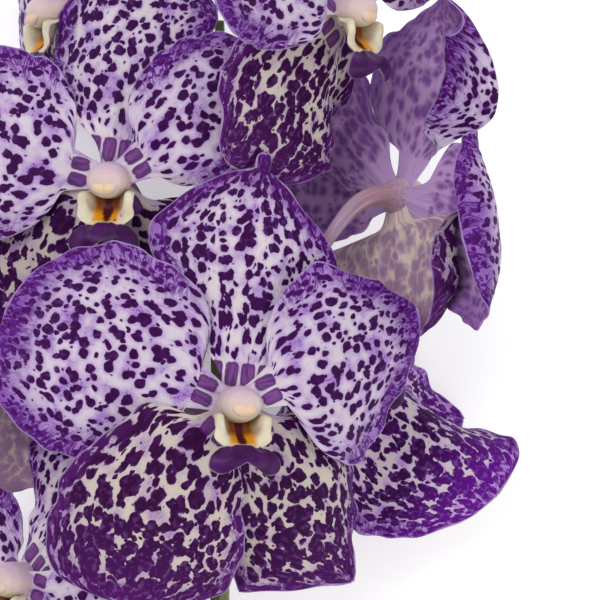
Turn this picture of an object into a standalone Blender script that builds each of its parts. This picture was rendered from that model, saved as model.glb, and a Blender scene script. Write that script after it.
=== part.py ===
"""A cut spray of a spotted vanda orchid, laid down on a table.

One straight stem, bent a little towards its cut end, carries eight open blooms. Each bloom has a
dorsal sepal, two petals and two lateral sepals set round a short column, a lip in front of the
column, and a curved flower stalk that swells into the ovary behind it.

Lengths are millimetres until they are handed to Blender, which gets metres. The spray is laid out
in a frame of its own: X to the right across the stem, Y along the stem towards its tip, Z towards
the side that is seen. REST turns and lifts that frame so that three petals touch the floor.
"""
from math import cos, pi, radians, sin

import bmesh
import bpy
import numpy as np

MM = 0.001

# How the whole spray lies: turned about X, then about Y, then moved, so that the lowest three
# petals touch z = 0 and the middle of its outline is above the origin.
REST_TURN = (3.38, -7.69, 0.0)
REST_MOVE = (18.37, 44.09, 51.89)

TEPAL_THICKNESS = 0.9
LIP_THICKNESS = 0.8
TEPAL_ROWS = 8
TEPAL_COLUMNS = 6
LIP_ROWS = 9
LIP_COLUMNS = 8
ROW_CROWDING = 0.55
MIDLINE_STEPS = 400

# The foot of a tepal: its distance from the column's axis, the width of its claw, how much that
# widens to each side per millimetre, and how far up it blends into the blade. At the tip half a
# width is left. A fold takes up a share of the half width.
TEPAL_BASE = 5.6
CLAW_WIDTH = 6.5
CLAW_FLARE = 0.35
CLAW_END = 0.45
APEX_HALF_WIDTH = 1.1
FOLD_SPREAD = 0.2
FOLD_STEPS = 24

STEM_X = -21.25
STEM_CUT_Y = -215.0
STEM_TIP_Y = 74.0
STEM_BEND_Y = -80.0
STEM_DROOP = 20.0
STEM_STATIONS = 24
STEM_SIDES_RESOLUTION = 4
NODE_SWELL = 0.5
NODE_LENGTH = 2.0
JOINT_GAP = 0.3

STALK_POINTS = 11
STALK_SIDES_RESOLUTION = 3
# Where the stalk meets the back of the bloom, measured along the column's axis.
STALK_END = -7.0

# The column and the cup that the tepals sit on: distance along the axis and radius.
COLUMN_PROFILE = ((-4.5, 3.2), (-2.2, 4.6), (-0.6, 5.1), (2.0, 5.2), (5.0, 5.0), (7.2, 3.9), (8.3, 2.0))

LIP_LENGTH = 16.0
LIP_START = (-5.7, 1.6)
# Along the lip: its slope above straight down, its half width and its curl across.
LIP_SLOPE = (30, 50, 68, 66, 35)
LIP_HALF_WIDTH = (2.6, 8.6, 9.4, 5.8, 8.0, 10.2, 9.6, 5.5)
LIP_CURL = (0.03, 0.15, 0.145, 0.03, -0.07, -0.1, -0.1, -0.08)
MIDLOBE_DROP = 0.3

# The usual form of each kind of tepal. lean is its direction round the column, in degrees from the
# bloom's right. width is the half width on its left and right side, looked at with the tip up.
# widest is how far up it is widest. flare shapes the edge below that and tip the edge above it.
# rise, sweep and twist are degrees along the midline, from foot to tip: towards the viewer, to the
# left and about itself. cup is the curvature across, and wave the height, number and start of the
# ripples of the margin. foot lifts the claw along the column. Some have a narrow flap at the tip:
# top is where the blade ends and the flap begins, and apex is the flap's half width. Some have a
# fold: for the left and the right side, where it is between midline and margin, and by how many
# degrees the blade turns there, towards the front if positive.
DORSAL_SEPAL = dict(
    lean=90, length=56, width=23.5, neck=0.04, widest=0.65, flare=3.2, tip=1.8,
    rise=(-6, -14, -26), sweep=0, twist=0, cup=(0, -0.01, -0.02), wave=(0.8, 1.4, 0.1), foot=-0.8)
PETAL_LEFT = dict(
    lean=158, length=56, width=26.5, neck=0.12, widest=0.55, flare=1.0, tip=2.0,
    rise=(8, -8, -25), sweep=0, twist=0, cup=(0, -0.005, -0.01), wave=(1.0, 1.6, 0.2), foot=0.3)
PETAL_RIGHT = dict(PETAL_LEFT, lean=22)
LATERAL_SEPAL_LEFT = dict(
    lean=-130, length=52, width=24, neck=0.08, widest=0.65, flare=1.3, tip=2.2,
    rise=(-5, -15, -25), sweep=(0, 15, 22), twist=0, cup=(0, -0.01, -0.015), wave=(1.0, 1.6, 0.5),
    foot=-0.3)
LATERAL_SEPAL_RIGHT = dict(LATERAL_SEPAL_LEFT, lean=-50, sweep=(0, -15, -22))
KINDS = dict(
    dorsal_sepal=DORSAL_SEPAL, petal_left=PETAL_LEFT, petal_right=PETAL_RIGHT,
    lateral_sepal_left=LATERAL_SEPAL_LEFT, lateral_sepal_right=LATERAL_SEPAL_RIGHT)

# The blooms. at is the middle of the column, turn its yaw, pitch and roll in degrees, joins the
# height on the stem where its stalk grows. A tepal gives what sets it off from its kind's form.
BLOOMS = {
    "front": dict(
        at=(-15.75, -26.25, 42), turn=(16, -6, -3), joins=-65,
        dorsal_sepal=dict(
            lean=85.5, length=58.5, width=(26.5, 23.5), flare=(4.0, 3.4), tip=(1.55, 1.15),
            rise=(2, 4, 2), twist=(-14, -5, -4), cup=((0, -0.01, -0.015), (0, -0.015, -0.02)),
            foot=-0.6, widest=(0.6, 0.56), sweep=(0, 0, 0), apex=2.3, top=0.92),
        petal_left=dict(
            lean=159, length=57.5, width=(29, 26), flare=(0.8, 0.6), tip=(2.1, 1.9),
            rise=(8, -10, -24), twist=(3, -17, 3), cup=((0, -0.005, 0), (0, -0.005, -0.015)),
            foot=-0.9),
        petal_right=dict(
            length=52.5, width=(24, 30), widest=(0.52, 0.47), flare=(1.1, 0.75), tip=(1.1, 1.35),
            rise=(17, -11, -13, -25), sweep=(0, 2, 4), twist=(-8, 20, 12),
            cup=((0, -0.005, -0.02), (0, -0.008, -0.015)), foot=1, lean=28),
        lateral_sepal_left=dict(
            length=52.5, width=(24.5, 26), widest=(0.65, 0.6), flare=(1.4, 1.2), tip=(2, 3.3),
            rise=(-1, -10, -15), sweep=(0, 16, 27), twist=(-9, 0, 4),
            cup=((0, -0.01, -0.01), (0, -0.02, -0.03)), foot=0.1),
        lateral_sepal_right=dict(
            lean=-46, length=53.5, width=(19, 26), widest=(0.55, 0.7), flare=(1.4, 1.3), tip=(1, 0.9),
            rise=(-15, -18, -23), sweep=(0, -6, -4), twist=(0, 7, -10),
            cup=((0, -0.03, -0.05, 0), (0, -0.005, -0.01)), foot=-1),
    ),
    "upper_left": dict(
        at=(-48, 30.5, 30), turn=(-10, 4, 0), joins=5,
        dorsal_sepal=dict(
            lean=80, length=58, width=(24.5, 22), widest=(0.55, 0.65), flare=(2.8, 4), tip=(1.8, 1.9),
            rise=(-6, -23, -27), sweep=(0, 10, 0), twist=(8, -4, 0),
            cup=((0, -0.025, -0.025), (0, -0.015, -0.02)), foot=-1.3),
        petal_left=dict(
            lean=163, length=49.5, width=(25, 25.5), widest=0.5, flare=(1.3, 0.8), tip=(2, 2.2),
            rise=(3, -7, -23), sweep=(6, -5, 0), twist=(5, 9, -5),
            cup=((0, -0.01, -0.01), (0, -0.005, -0.005))),
        petal_right=dict(
            lean=30, length=48, width=(21.5, 18), widest=(0.55, 0.6), flare=(0.9, 1.1), tip=(2.2, 2.3),
            rise=(5, -10, -46), sweep=(0, 5, 0), twist=(0, 11, 0),
            cup=((0, -0.035, -0.035), (0, -0.01, -0.02)), foot=0.6),
        lateral_sepal_left=dict(
            lean=-126, length=48.5, rise=(-5, -10, -17), sweep=(-10, 14, 22), foot=-0.4),
        lateral_sepal_right=dict(lean=-63, length=47.5, rise=(-17, -49, -17), foot=-1.2),
    ),
    "top": dict(
        at=(11.75, 74.5, 26), turn=(52, 5, 0), joins=52.5,
        dorsal_sepal=dict(lean=102, length=45.5, rise=(-13, -13, -28), foot=-1.1),
        petal_left=dict(
            lean=162, length=50, width=(20.5, 25), widest=(0.55, 0.6), tip=(2.3, 1.9),
            rise=(13, -1, -19), sweep=(6, 5, -8), twist=(13, -5, 18),
            cup=((0, -0.015, -0.02), (0, -0.005, -0.01))),
        petal_right=dict(lean=44, length=50.5, width=20, rise=(22, -22, -67), foot=0),
        lateral_sepal_left=dict(
            lean=-121, length=46.8, width=(28, 17), widest=(0.65, 0.5), flare=(1.7, 0.9), tip=1.6,
            rise=(-21, -8, -34), sweep=(-17, 0, 12), twist=(-4, 5, 10),
            cup=((0, -0.01, 0.01), (0, -0.045, -0.015)), foot=0.2),
        lateral_sepal_right=dict(
            lean=-58, length=47.5, width=(17, 18.5), flare=(0.8, 1), tip=(1.6, 2.2),
            rise=(-25, -38, -71), sweep=(0, -40, -4), twist=(7, -19, 10),
            cup=((0, 0.005, 0), (0, -0.015, -0.015)), foot=-1.7),
    ),
    "right": dict(
        at=(26.25, 27.5, -4), turn=(140, 0, -45), joins=-7.5,
        dorsal_sepal=dict(length=48.5, width=21, rise=(-4, -10, -31), foot=-1.1),
        petal_left=dict(
            lean=164, length=55.5, width=(34.5, 24.5), widest=(0.58, 0.45), flare=(1.9, 1.0),
            tip=(1.45, 1.1), rise=(19, -12, -45), sweep=(-16, 3, -5), twist=(-12, 11, 0),
            cup=((0, -0.01, -0.012), (0, 0.005, -0.025)), foot=0, fold=((0.54, -146), (0.9, 0))),
        petal_right=dict(
            lean=45, length=45, width=13, rise=(13, 4, -17),
            cup=((0, -0.05, -0.08), (0, -0.05, -0.05)), foot=1.1),
        lateral_sepal_left=dict(
            lean=-124, length=55.5, width=(25, 26.5), widest=0.6, flare=(1.5, 1.2), tip=(2.3, 2.8),
            rise=(0, -11, -40, -134), sweep=(11, 0, -25), twist=(4, 11, -3),
            cup=((0, -0.03, -0.01), (0, -0.005, -0.035)), foot=-1.6),
        lateral_sepal_right=dict(
            lean=-57, length=34, width=(26, 31), widest=(0.45, 0.6), flare=(1, 0.7), tip=(2.1, 1.3),
            rise=(-15, -7, -14), sweep=(0, 0, 14), twist=(0, 6, 3),
            cup=((0, -0.04, -0.02), (0, -0.01, -0.01)), foot=-1.7, fold=((0.9, 0), (0.8, -122))),
    ),
    "low_right": dict(
        at=(10, -16, -16), turn=(30, -5, 68), joins=-47.5,
        dorsal_sepal=dict(lean=116, length=40.5, width=18, rise=(21, 69, -8), foot=0),
        petal_left=dict(lean=192, length=41.5, width=18, rise=(-21, 1, -56), foot=-0.5),
        petal_right=dict(lean=-8, length=41, width=17, rise=(-24, -54, -74), foot=-0.5),
        lateral_sepal_left=dict(
            lean=-109, length=54, width=(20, 32), widest=(0.7, 0.5), flare=(1.6, 1), tip=(2.4, 1.7),
            rise=(-13, 19, 23), sweep=(0, 0, -6), twist=(0, -6, 12),
            cup=((0, -0.085, -0.02), (0, -0.015, 0)), foot=0.2),
        lateral_sepal_right=dict(
            lean=-87, length=52.5, width=(11.5, 18), widest=(0.65, 0.7), flare=(0.9, 1.3),
            tip=(1.1, 1.5), rise=(-27, -24, 1), sweep=(0, -3, 12), twist=(0, 5, 3),
            cup=((0, -0.03, -0.04), (0, -0.01, -0.01)), foot=-1.3),
    ),
    "low_left": dict(
        at=(-73, -73, 12), turn=(-40, -5, -14), joins=-100,
        dorsal_sepal=dict(
            lean=77, length=46.5, width=(26, 25.5), flare=(3.5, 2.7), rise=(-9, -13, -31),
            sweep=(-21, 0, 5), twist=(-3, 7, -4), cup=((0, -0.005, -0.03), (0, -0.01, -0.02)), foot=-1),
        petal_left=dict(
            lean=171, length=31, width=(23, 18), widest=(0.55, 0.7), flare=(1.1, 1.5),
            rise=(-22, -11, -35), sweep=(-3, -6, 11), twist=(45, 8, -7),
            cup=((0, -0.005, -0.01), (0, 0, -0.005)), foot=0.5),
        petal_right=dict(lean=2, length=48, width=22, rise=(4, -20, -40), foot=0.7),
        lateral_sepal_left=dict(lean=-128, length=50.5, width=21, rise=(-30, -41, -71), foot=-0.1),
        lateral_sepal_right=dict(lean=-44, length=49.5, width=21, rise=(-15, -28, -22), foot=-0.8),
    ),
    "top_left": dict(
        at=(-63.75, 76.25, 4), turn=(-60, 5, 0), joins=40,
        dorsal_sepal=dict(lean=117, length=50, width=22, rise=(-8, -29, -26), foot=-1.2),
        petal_left=dict(lean=175, length=48, width=23, rise=(0, -18, -32), foot=0.6),
        petal_right=dict(lean=73, length=48.5, width=20, rise=(18, -22, -59), foot=0.4),
        lateral_sepal_left=dict(lean=-123, length=48, width=20, rise=(-3, -44, -47)),
        lateral_sepal_right=dict(lean=-53, length=36, width=18, rise=(-18, -37, -64), foot=-1),
    ),
    "left_back": dict(
        at=(-67.5, -20, -10), turn=(-120, 0, 10), joins=-30,
        dorsal_sepal=dict(length=46, width=20),
        petal_left=dict(lean=156, length=42.5, width=20, rise=(0, -14, -30)),
        petal_right=dict(length=49.5, width=20, rise=(26, 5, -8), foot=0.9),
        lateral_sepal_left=dict(lean=-133, length=44, width=19, rise=(-8, -28, -28), foot=-0.4),
        lateral_sepal_right=dict(lean=-35, length=33, width=19, rise=(-12, 4, 15), foot=-0.2),
    ),
}

DORSAL_LILAC = (0.40, 0.30, 0.44)
PETAL_LILAC = (0.38, 0.28, 0.42)
LATERAL_PLUM = (0.22, 0.15, 0.21)
LIP_PURPLE = (0.10, 0.03, 0.13)
STALK_LILAC = (0.60, 0.48, 0.60)
STEM_GREEN = (0.12, 0.15, 0.04)


def smooth(x):
    """Ease from 0 to 1 as x goes from 0 to 1."""
    x = np.clip(x, 0.0, 1.0)
    return x * x * (3 - 2 * x)


def along(values, u):
    """A smooth curve through evenly spaced values, read at u from 0 to 1."""
    v = np.atleast_1d(np.asarray(values, float))
    if len(v) == 1:
        return np.full_like(u, v[0])
    spans = len(v) - 1
    x = np.clip(u, 0, 1) * spans
    i = np.minimum(x.astype(int), spans - 1)
    f = x - i
    before = v[np.maximum(i - 1, 0)]
    start = v[i]
    end = v[i + 1]
    after = v[np.minimum(i + 2, spans)]
    linear = (end - before) * f
    square = (2 * before - 5 * start + 4 * end - after) * f ** 2
    cube = (3 * start - before - 3 * end + after) * f ** 3
    return 0.5 * (2 * start + linear + square + cube)


def sides(value):
    """The value on the left and on the right of a tepal, which may be the same."""
    return value if isinstance(value, tuple) else (value, value)


def half_width(form, u, side):
    """Distance from the midline to the margin: a claw that opens into a round blade."""
    widest = sides(form["widest"])[side]
    flare = sides(form["flare"])[side]
    tip = sides(form["tip"])[side]
    neck = form["neck"]
    below = np.clip((widest - u) / (widest - neck), 0, 1)
    above = np.clip((u - widest) / (form.get("top", 1) - widest), 0, 1)
    lower_edge = (1 - below ** 2) ** (flare / 2)
    upper_edge = (1 - above ** tip) ** (1 / tip)
    blade = np.where(u < widest, lower_edge, upper_edge)
    blade = np.where(u < neck, 0, blade)
    claw = (CLAW_WIDTH / 2 + CLAW_FLARE * form["length"] * u) * (1 - smooth(u / CLAW_END))
    apex = form.get("apex", APEX_HALF_WIDTH)
    return np.hypot(claw, sides(form["width"])[side] * blade) + apex * u ** 4


def midline(form):
    """Stations along a tepal's midline: position, direction and the angle swept to the left."""
    g = np.linspace(0, 1, MIDLINE_STEPS + 1)
    rise = np.radians(along(form["rise"], g))
    sweep = np.radians(along(form["sweep"], g))
    direction = np.stack([np.cos(rise) * np.cos(sweep), np.cos(rise) * np.sin(sweep), np.sin(rise)], -1)
    steps = (direction[1:] + direction[:-1]) / 2 / MIDLINE_STEPS
    position = np.vstack([np.zeros((1, 3)), np.cumsum(steps, axis=0)]) * form["length"]
    return g, position, direction, sweep


def cross_section(form, u, t):
    """Distance to the left of the midline and towards the front: a cupped and sometimes folded arc."""
    on_left = t >= 0
    arc = t * np.where(on_left, half_width(form, u, 0), half_width(form, u, 1))
    cups = form["cup"] if isinstance(form["cup"][0], tuple) else (form["cup"], form["cup"])
    bend = np.where(on_left, along(cups[0], u), along(cups[1], u))
    bend = np.where(np.abs(bend) < 1e-5, 1e-5, bend)
    if "fold" not in form:
        return np.sin(bend * arc) / bend, (1 - np.cos(bend * arc)) / bend
    left_fold, right_fold = form["fold"]
    crease = np.where(on_left, left_fold[0], right_fold[0])
    turnover = np.sign(t) * np.radians(np.where(on_left, left_fold[1], right_fold[1]))
    sideways = np.zeros_like(arc)
    depth = np.zeros_like(arc)
    for step in range(FOLD_STEPS):
        share = (step + 0.5) / FOLD_STEPS
        turned = smooth((np.abs(t) * share - crease) / FOLD_SPREAD + 0.5)
        turned = turned * smooth((u - 0.08) / 0.25) * smooth((1 - u) / 0.12)
        angle = bend * arc * share + turnover * turned
        sideways += np.cos(angle) * arc / FOLD_STEPS
        depth += np.sin(angle) * arc / FOLD_STEPS
    return sideways, depth


def tepal_surface(form, u, t):
    """Points of a tepal's middle surface: u from foot to tip, t from its right margin to its left."""
    g, position, direction, sweep = midline(form)

    def read(rows):
        return np.stack([np.interp(u, g, rows[:, k]) for k in range(3)], -1)

    tangent = read(direction)
    tangent /= np.linalg.norm(tangent, axis=-1, keepdims=True)
    turned = np.interp(u, g, sweep)
    left = np.stack([-np.sin(turned), np.cos(turned), np.zeros_like(turned)], -1)
    front = np.cross(tangent, left)
    twist = np.radians(along(form["twist"], u))[..., None]
    across = left * np.cos(twist) + front * np.sin(twist)
    outward = front * np.cos(twist) - left * np.sin(twist)

    sideways, depth = cross_section(form, u, t)
    height, count, start = form["wave"]
    ripple = np.sin(2 * pi * (count * u + start + np.where(t >= 0, 0, 0.37)))
    depth = depth + height * np.abs(t) ** 2.2 * ripple * smooth(u / 0.35)
    return read(position) + across * sideways[..., None] + outward * depth[..., None]


def lip_surface(u, t):
    """Points of the lip's middle surface: a pouch with two side lobes, a waist and a broad midlobe."""
    g = np.linspace(0, 1, MIDLINE_STEPS + 1)
    slope = np.radians(along(LIP_SLOPE, g))
    step = LIP_LENGTH / MIDLINE_STEPS
    y_line = LIP_START[0] - np.concatenate([[0], np.cumsum(np.cos(slope[1:]) * step)])
    z_line = LIP_START[1] + np.concatenate([[0], np.cumsum(np.sin(slope[1:]) * step)])
    here = np.interp(u, g, slope)
    half = along(LIP_HALF_WIDTH, u)
    arc = t * half
    curl = along(LIP_CURL, u)
    curl = np.where(np.abs(curl) < 1e-4, 1e-4, curl)
    depth = (1 - np.cos(curl * arc)) / curl
    drop = MIDLOBE_DROP * np.abs(t) ** 1.5 * half * smooth((u - 0.62) / 0.2)
    x = np.sin(curl * arc) / curl
    y = np.interp(u, g, y_line) + depth * np.sin(here) - drop * np.cos(here)
    z = np.interp(u, g, z_line) + depth * np.cos(here)
    return np.stack([x, y, z], -1)


def finish(name, colour, roughness):
    """One plain material."""
    material = bpy.data.materials.new(name)
    material.use_nodes = True
    shader = material.node_tree.nodes["Principled BSDF"]
    shader.inputs["Base Color"].default_value = (*colour, 1.0)
    shader.inputs["Roughness"].default_value = roughness
    shader.inputs["Metallic"].default_value = 0.0
    return material


def place(name, data, material, parent, location=(0, 0, 0), turn=(0, 0, 0)):
    """Put an object in the scene; location is in millimetres and turn in degrees."""
    thing = bpy.data.objects.new(name, data)
    bpy.context.collection.objects.link(thing)
    if material:
        data.materials.append(material)
    thing.parent = parent
    thing.location = [MM * value for value in location]
    thing.rotation_euler = [radians(angle) for angle in turn]
    return thing


def sheet(name, surface, rows, columns, crowding, thickness, **where):
    """A thin solid: a grid bent onto the surface and thickened to both sides."""
    bm = bmesh.new()
    bmesh.ops.create_grid(bm, x_segments=rows, y_segments=columns, size=1)
    right = [face for face in bm.faces if face.calc_center_median().y < 0]
    left = [face for face in bm.faces if face.calc_center_median().y > 0]
    bmesh.ops.triangulate(bm, faces=right, quad_method="FIXED")
    bmesh.ops.triangulate(bm, faces=left, quad_method="ALTERNATE")
    flat = np.array([vertex.co for vertex in bm.verts])
    even = (flat[:, 0] + 1) / 2
    u = crowding * (1 - np.cos(pi * even)) / 2 + (1 - crowding) * even
    for vertex, point in zip(bm.verts, surface(u, flat[:, 1]) * MM):
        vertex.co = point
    mesh = bpy.data.meshes.new(name)
    bm.to_mesh(mesh)
    bm.free()
    mesh.shade_smooth()
    thing = place(name, mesh, **where)
    solid = thing.modifiers.new("thickness", "SOLIDIFY")
    solid.thickness = thickness * MM
    solid.offset = 0
    return thing


def rod(name, points, radii, resolution, **where):
    """A closed round rod of changing radius along the points."""
    curve = bpy.data.curves.new(name, "CURVE")
    curve.dimensions = "3D"
    curve.bevel_depth = MM
    curve.bevel_resolution = resolution
    curve.use_fill_caps = True
    line = curve.splines.new("POLY")
    line.points.add(len(points) - 1)
    line.use_smooth = True
    for station, point, radius in zip(line.points, points, radii):
        station.co = (*(MM * value for value in point), 1.0)
        station.radius = radius
    return place(name, curve, **where)


def stem_point(y):
    """The stem's centre line: straight, then bowed down towards the cut end."""
    past = max(0.0, (STEM_BEND_Y - y) / (STEM_BEND_Y - STEM_CUT_Y))
    return np.array([STEM_X, y, -STEM_DROOP * past ** 2])


def stem_radius(y):
    """Thins towards the tip, and swells where a flower stalk grows."""
    plain = np.interp(y, [STEM_CUT_Y, 40, STEM_TIP_Y], [2.8, 2.3, 1.2])
    swell = max(np.exp(-((y - bloom["joins"]) / NODE_LENGTH) ** 2) for bloom in BLOOMS.values())
    return plain + NODE_SWELL * swell


def stem(material, parent):
    """The cut flower stem with a ring at each node."""
    stations = list(np.linspace(STEM_CUT_Y, STEM_TIP_Y, STEM_STATIONS))
    for bloom in BLOOMS.values():
        stations += [bloom["joins"] - NODE_LENGTH, bloom["joins"], bloom["joins"] + NODE_LENGTH]
    stations.sort()
    points = [stem_point(y) for y in stations]
    radii = [stem_radius(y) for y in stations]
    rod("stem", points, radii, STEM_SIDES_RESOLUTION, material=material, parent=parent)


def facing(turn):
    """The bloom's own axes as columns: yaw about Y, then pitch, then roll about its own axis."""
    yaw, pitch, roll = (radians(angle) for angle in turn)
    about_y = np.array([[cos(yaw), 0, sin(yaw)], [0, 1, 0], [-sin(yaw), 0, cos(yaw)]])
    about_x = np.array([[1, 0, 0], [0, cos(pitch), -sin(pitch)], [0, sin(pitch), cos(pitch)]])
    about_z = np.array([[cos(roll), -sin(roll), 0], [sin(roll), cos(roll), 0], [0, 0, 1]])
    return about_y @ about_x @ about_z


def stalk(name, bloom, material, parent):
    """Flower stalk, ovary and column in one: a curve from the stem's side to the bloom's middle."""
    axis = facing(bloom["turn"])[:, 2]
    middle = np.array(bloom["at"], float)
    end = middle + axis * STALK_END
    root = stem_point(bloom["joins"])
    out = end - root
    out[1] = 0
    out /= np.linalg.norm(out)
    start = root + out * (stem_radius(bloom["joins"]) + JOINT_GAP)
    reach = np.linalg.norm(end - start)
    first = start + out * reach * 0.4
    second = end - axis * reach * 0.45
    f = np.linspace(0, 1, STALK_POINTS)[:, None]
    line = (1 - f) ** 3 * start + 3 * (1 - f) ** 2 * f * first + 3 * (1 - f) * f ** 2 * second + f ** 3 * end
    points = [point - start for point in line]
    radii = list(np.interp(f[:, 0], [0, 0.25, 0.6, 0.85, 1], [1.5, 1.3, 1.7, 2.3, 2.6]))
    for distance, radius in COLUMN_PROFILE:
        points.append(middle + axis * distance - start)
        radii.append(radius)
    rod(name, points, radii, STALK_SIDES_RESOLUTION, material=material, parent=parent, location=start)


def bloom_parts(name, bloom, materials, parent):
    """One bloom: an empty at the column's middle that carries five tepals and the lip."""
    yaw, pitch, roll = bloom["turn"]
    centre = place(name, None, None, parent, bloom["at"])
    centre.rotation_mode = "ZXY"
    centre.rotation_euler = (radians(pitch), radians(yaw), radians(roll))
    for kind, usual in KINDS.items():
        form = dict(usual, **bloom[kind])
        lean = radians(form["lean"])
        foot = (TEPAL_BASE * cos(lean), TEPAL_BASE * sin(lean), form["foot"])
        sheet(
            f"{name}_{kind}", lambda u, t: tepal_surface(form, u, t), TEPAL_ROWS, TEPAL_COLUMNS,
            ROW_CROWDING, TEPAL_THICKNESS, material=materials[kind.replace("_left", "").replace("_right", "")],
            parent=centre, location=foot, turn=(0, 0, form["lean"]))
    sheet(
        f"{name}_lip", lip_surface, LIP_ROWS, LIP_COLUMNS, 0.0, LIP_THICKNESS,
        material=materials["lip"], parent=centre)
    stalk(f"{name}_stalk", bloom, materials["stalk"], parent)


def main():
    for thing in list(bpy.data.objects):
        bpy.data.objects.remove(thing, do_unlink=True)
    materials = dict(
        dorsal_sepal=finish("dorsal_sepal", DORSAL_LILAC, 0.45),
        petal=finish("petal", PETAL_LILAC, 0.45),
        lateral_sepal=finish("lateral_sepal", LATERAL_PLUM, 0.45),
        lip=finish("lip", LIP_PURPLE, 0.35),
        stalk=finish("stalk", STALK_LILAC, 0.4),
        stem=finish("stem", STEM_GREEN, 0.45))
    spray = place("spray", None, None, None, REST_MOVE, REST_TURN)
    stem(materials["stem"], spray)
    for name, bloom in BLOOMS.items():
        bloom_parts(name, bloom, materials, spray)


main()
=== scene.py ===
# %% [markdown]
# A cut spray of a spotted vanda orchid, laid on a pale table and looked down on. The solids of the
# spray come in as a fixed frame. Each of them is replaced here by a finer piece on the same
# formulas, with thin waved margins, veins and the dark blotches that give the flower its look.

# %% Load the frame
from math import cos, pi, radians, sin

import bmesh
import bpy
import numpy as np
from mathutils import Euler, Matrix, Vector


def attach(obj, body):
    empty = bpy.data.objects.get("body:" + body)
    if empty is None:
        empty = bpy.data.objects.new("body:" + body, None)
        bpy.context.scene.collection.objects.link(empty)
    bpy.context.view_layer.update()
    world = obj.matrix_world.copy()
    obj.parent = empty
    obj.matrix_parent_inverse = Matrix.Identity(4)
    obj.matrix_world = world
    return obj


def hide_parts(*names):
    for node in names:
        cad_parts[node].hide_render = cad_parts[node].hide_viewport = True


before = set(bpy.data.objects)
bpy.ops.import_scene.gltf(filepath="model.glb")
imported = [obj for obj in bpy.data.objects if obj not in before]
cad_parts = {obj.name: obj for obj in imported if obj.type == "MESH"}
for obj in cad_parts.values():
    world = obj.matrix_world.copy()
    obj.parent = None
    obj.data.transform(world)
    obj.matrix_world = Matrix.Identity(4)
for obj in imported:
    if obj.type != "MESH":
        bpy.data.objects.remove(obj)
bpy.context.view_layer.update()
MM = 0.001

# %% [markdown]
# The spray is laid out in its own frame, in millimetres: X across the stem, Y along it towards the
# tip, Z towards the side that is seen. REST turns and lifts that frame, as in the part's own
# source, so that the spray lies on the table on three of its tepals.

# %% The spray's sizes
REST_TURN = (3.38, -7.69, 0.0)
REST_MOVE = (18.37, 44.09, 51.89)
TEPAL_THICKNESS = 0.9
MARGIN_THICKNESS = 0.5
ROW_CROWDING = 0.55
MIDLINE_STEPS = 400
TEPAL_BASE = 5.6
CLAW_WIDTH = 6.5
CLAW_FLARE = 0.35
CLAW_END = 0.45
APEX_HALF_WIDTH = 1.1
FOLD_SPREAD = 0.2
FOLD_STEPS = 24
print("the spray is turned by", REST_TURN, "degrees and moved by", REST_MOVE, "mm")

# %% [markdown]
# A tepal is described by a few words each: how far it leans round the column, its length and half
# width, how its outline swells and closes, and how it rises, sweeps, twists and cups from foot to
# tip. Blooms of one spray share the usual form and differ by a few degrees and millimetres, which
# is what keeps eight blooms from looking like copies. Angles are in degrees and lengths in
# millimetres, and a pair gives the left and the right half.

# %% The usual forms and the eight blooms
DORSAL_SEPAL = dict(
    lean=90, length=56, width=23.5, neck=0.04, widest=0.65, flare=3.2, tip=1.8,
    rise=(-6, -14, -26), sweep=0, twist=0, cup=(0, -0.01, -0.02), wave=(0.8, 1.4, 0.1), foot=-0.8)
PETAL_LEFT = dict(
    lean=158, length=56, width=26.5, neck=0.12, widest=0.55, flare=1.0, tip=2.0,
    rise=(8, -8, -25), sweep=0, twist=0, cup=(0, -0.005, -0.01), wave=(1.0, 1.6, 0.2), foot=0.3)
PETAL_RIGHT = dict(PETAL_LEFT, lean=22)
LATERAL_SEPAL_LEFT = dict(
    lean=-130, length=52, width=24, neck=0.08, widest=0.65, flare=1.3, tip=2.2,
    rise=(-5, -15, -25), sweep=(0, 15, 22), twist=0, cup=(0, -0.01, -0.015), wave=(1.0, 1.6, 0.5),
    foot=-0.3)
LATERAL_SEPAL_RIGHT = dict(LATERAL_SEPAL_LEFT, lean=-50, sweep=(0, -15, -22))
KINDS = dict(
    dorsal_sepal=DORSAL_SEPAL, petal_left=PETAL_LEFT, petal_right=PETAL_RIGHT,
    lateral_sepal_left=LATERAL_SEPAL_LEFT, lateral_sepal_right=LATERAL_SEPAL_RIGHT)

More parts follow.
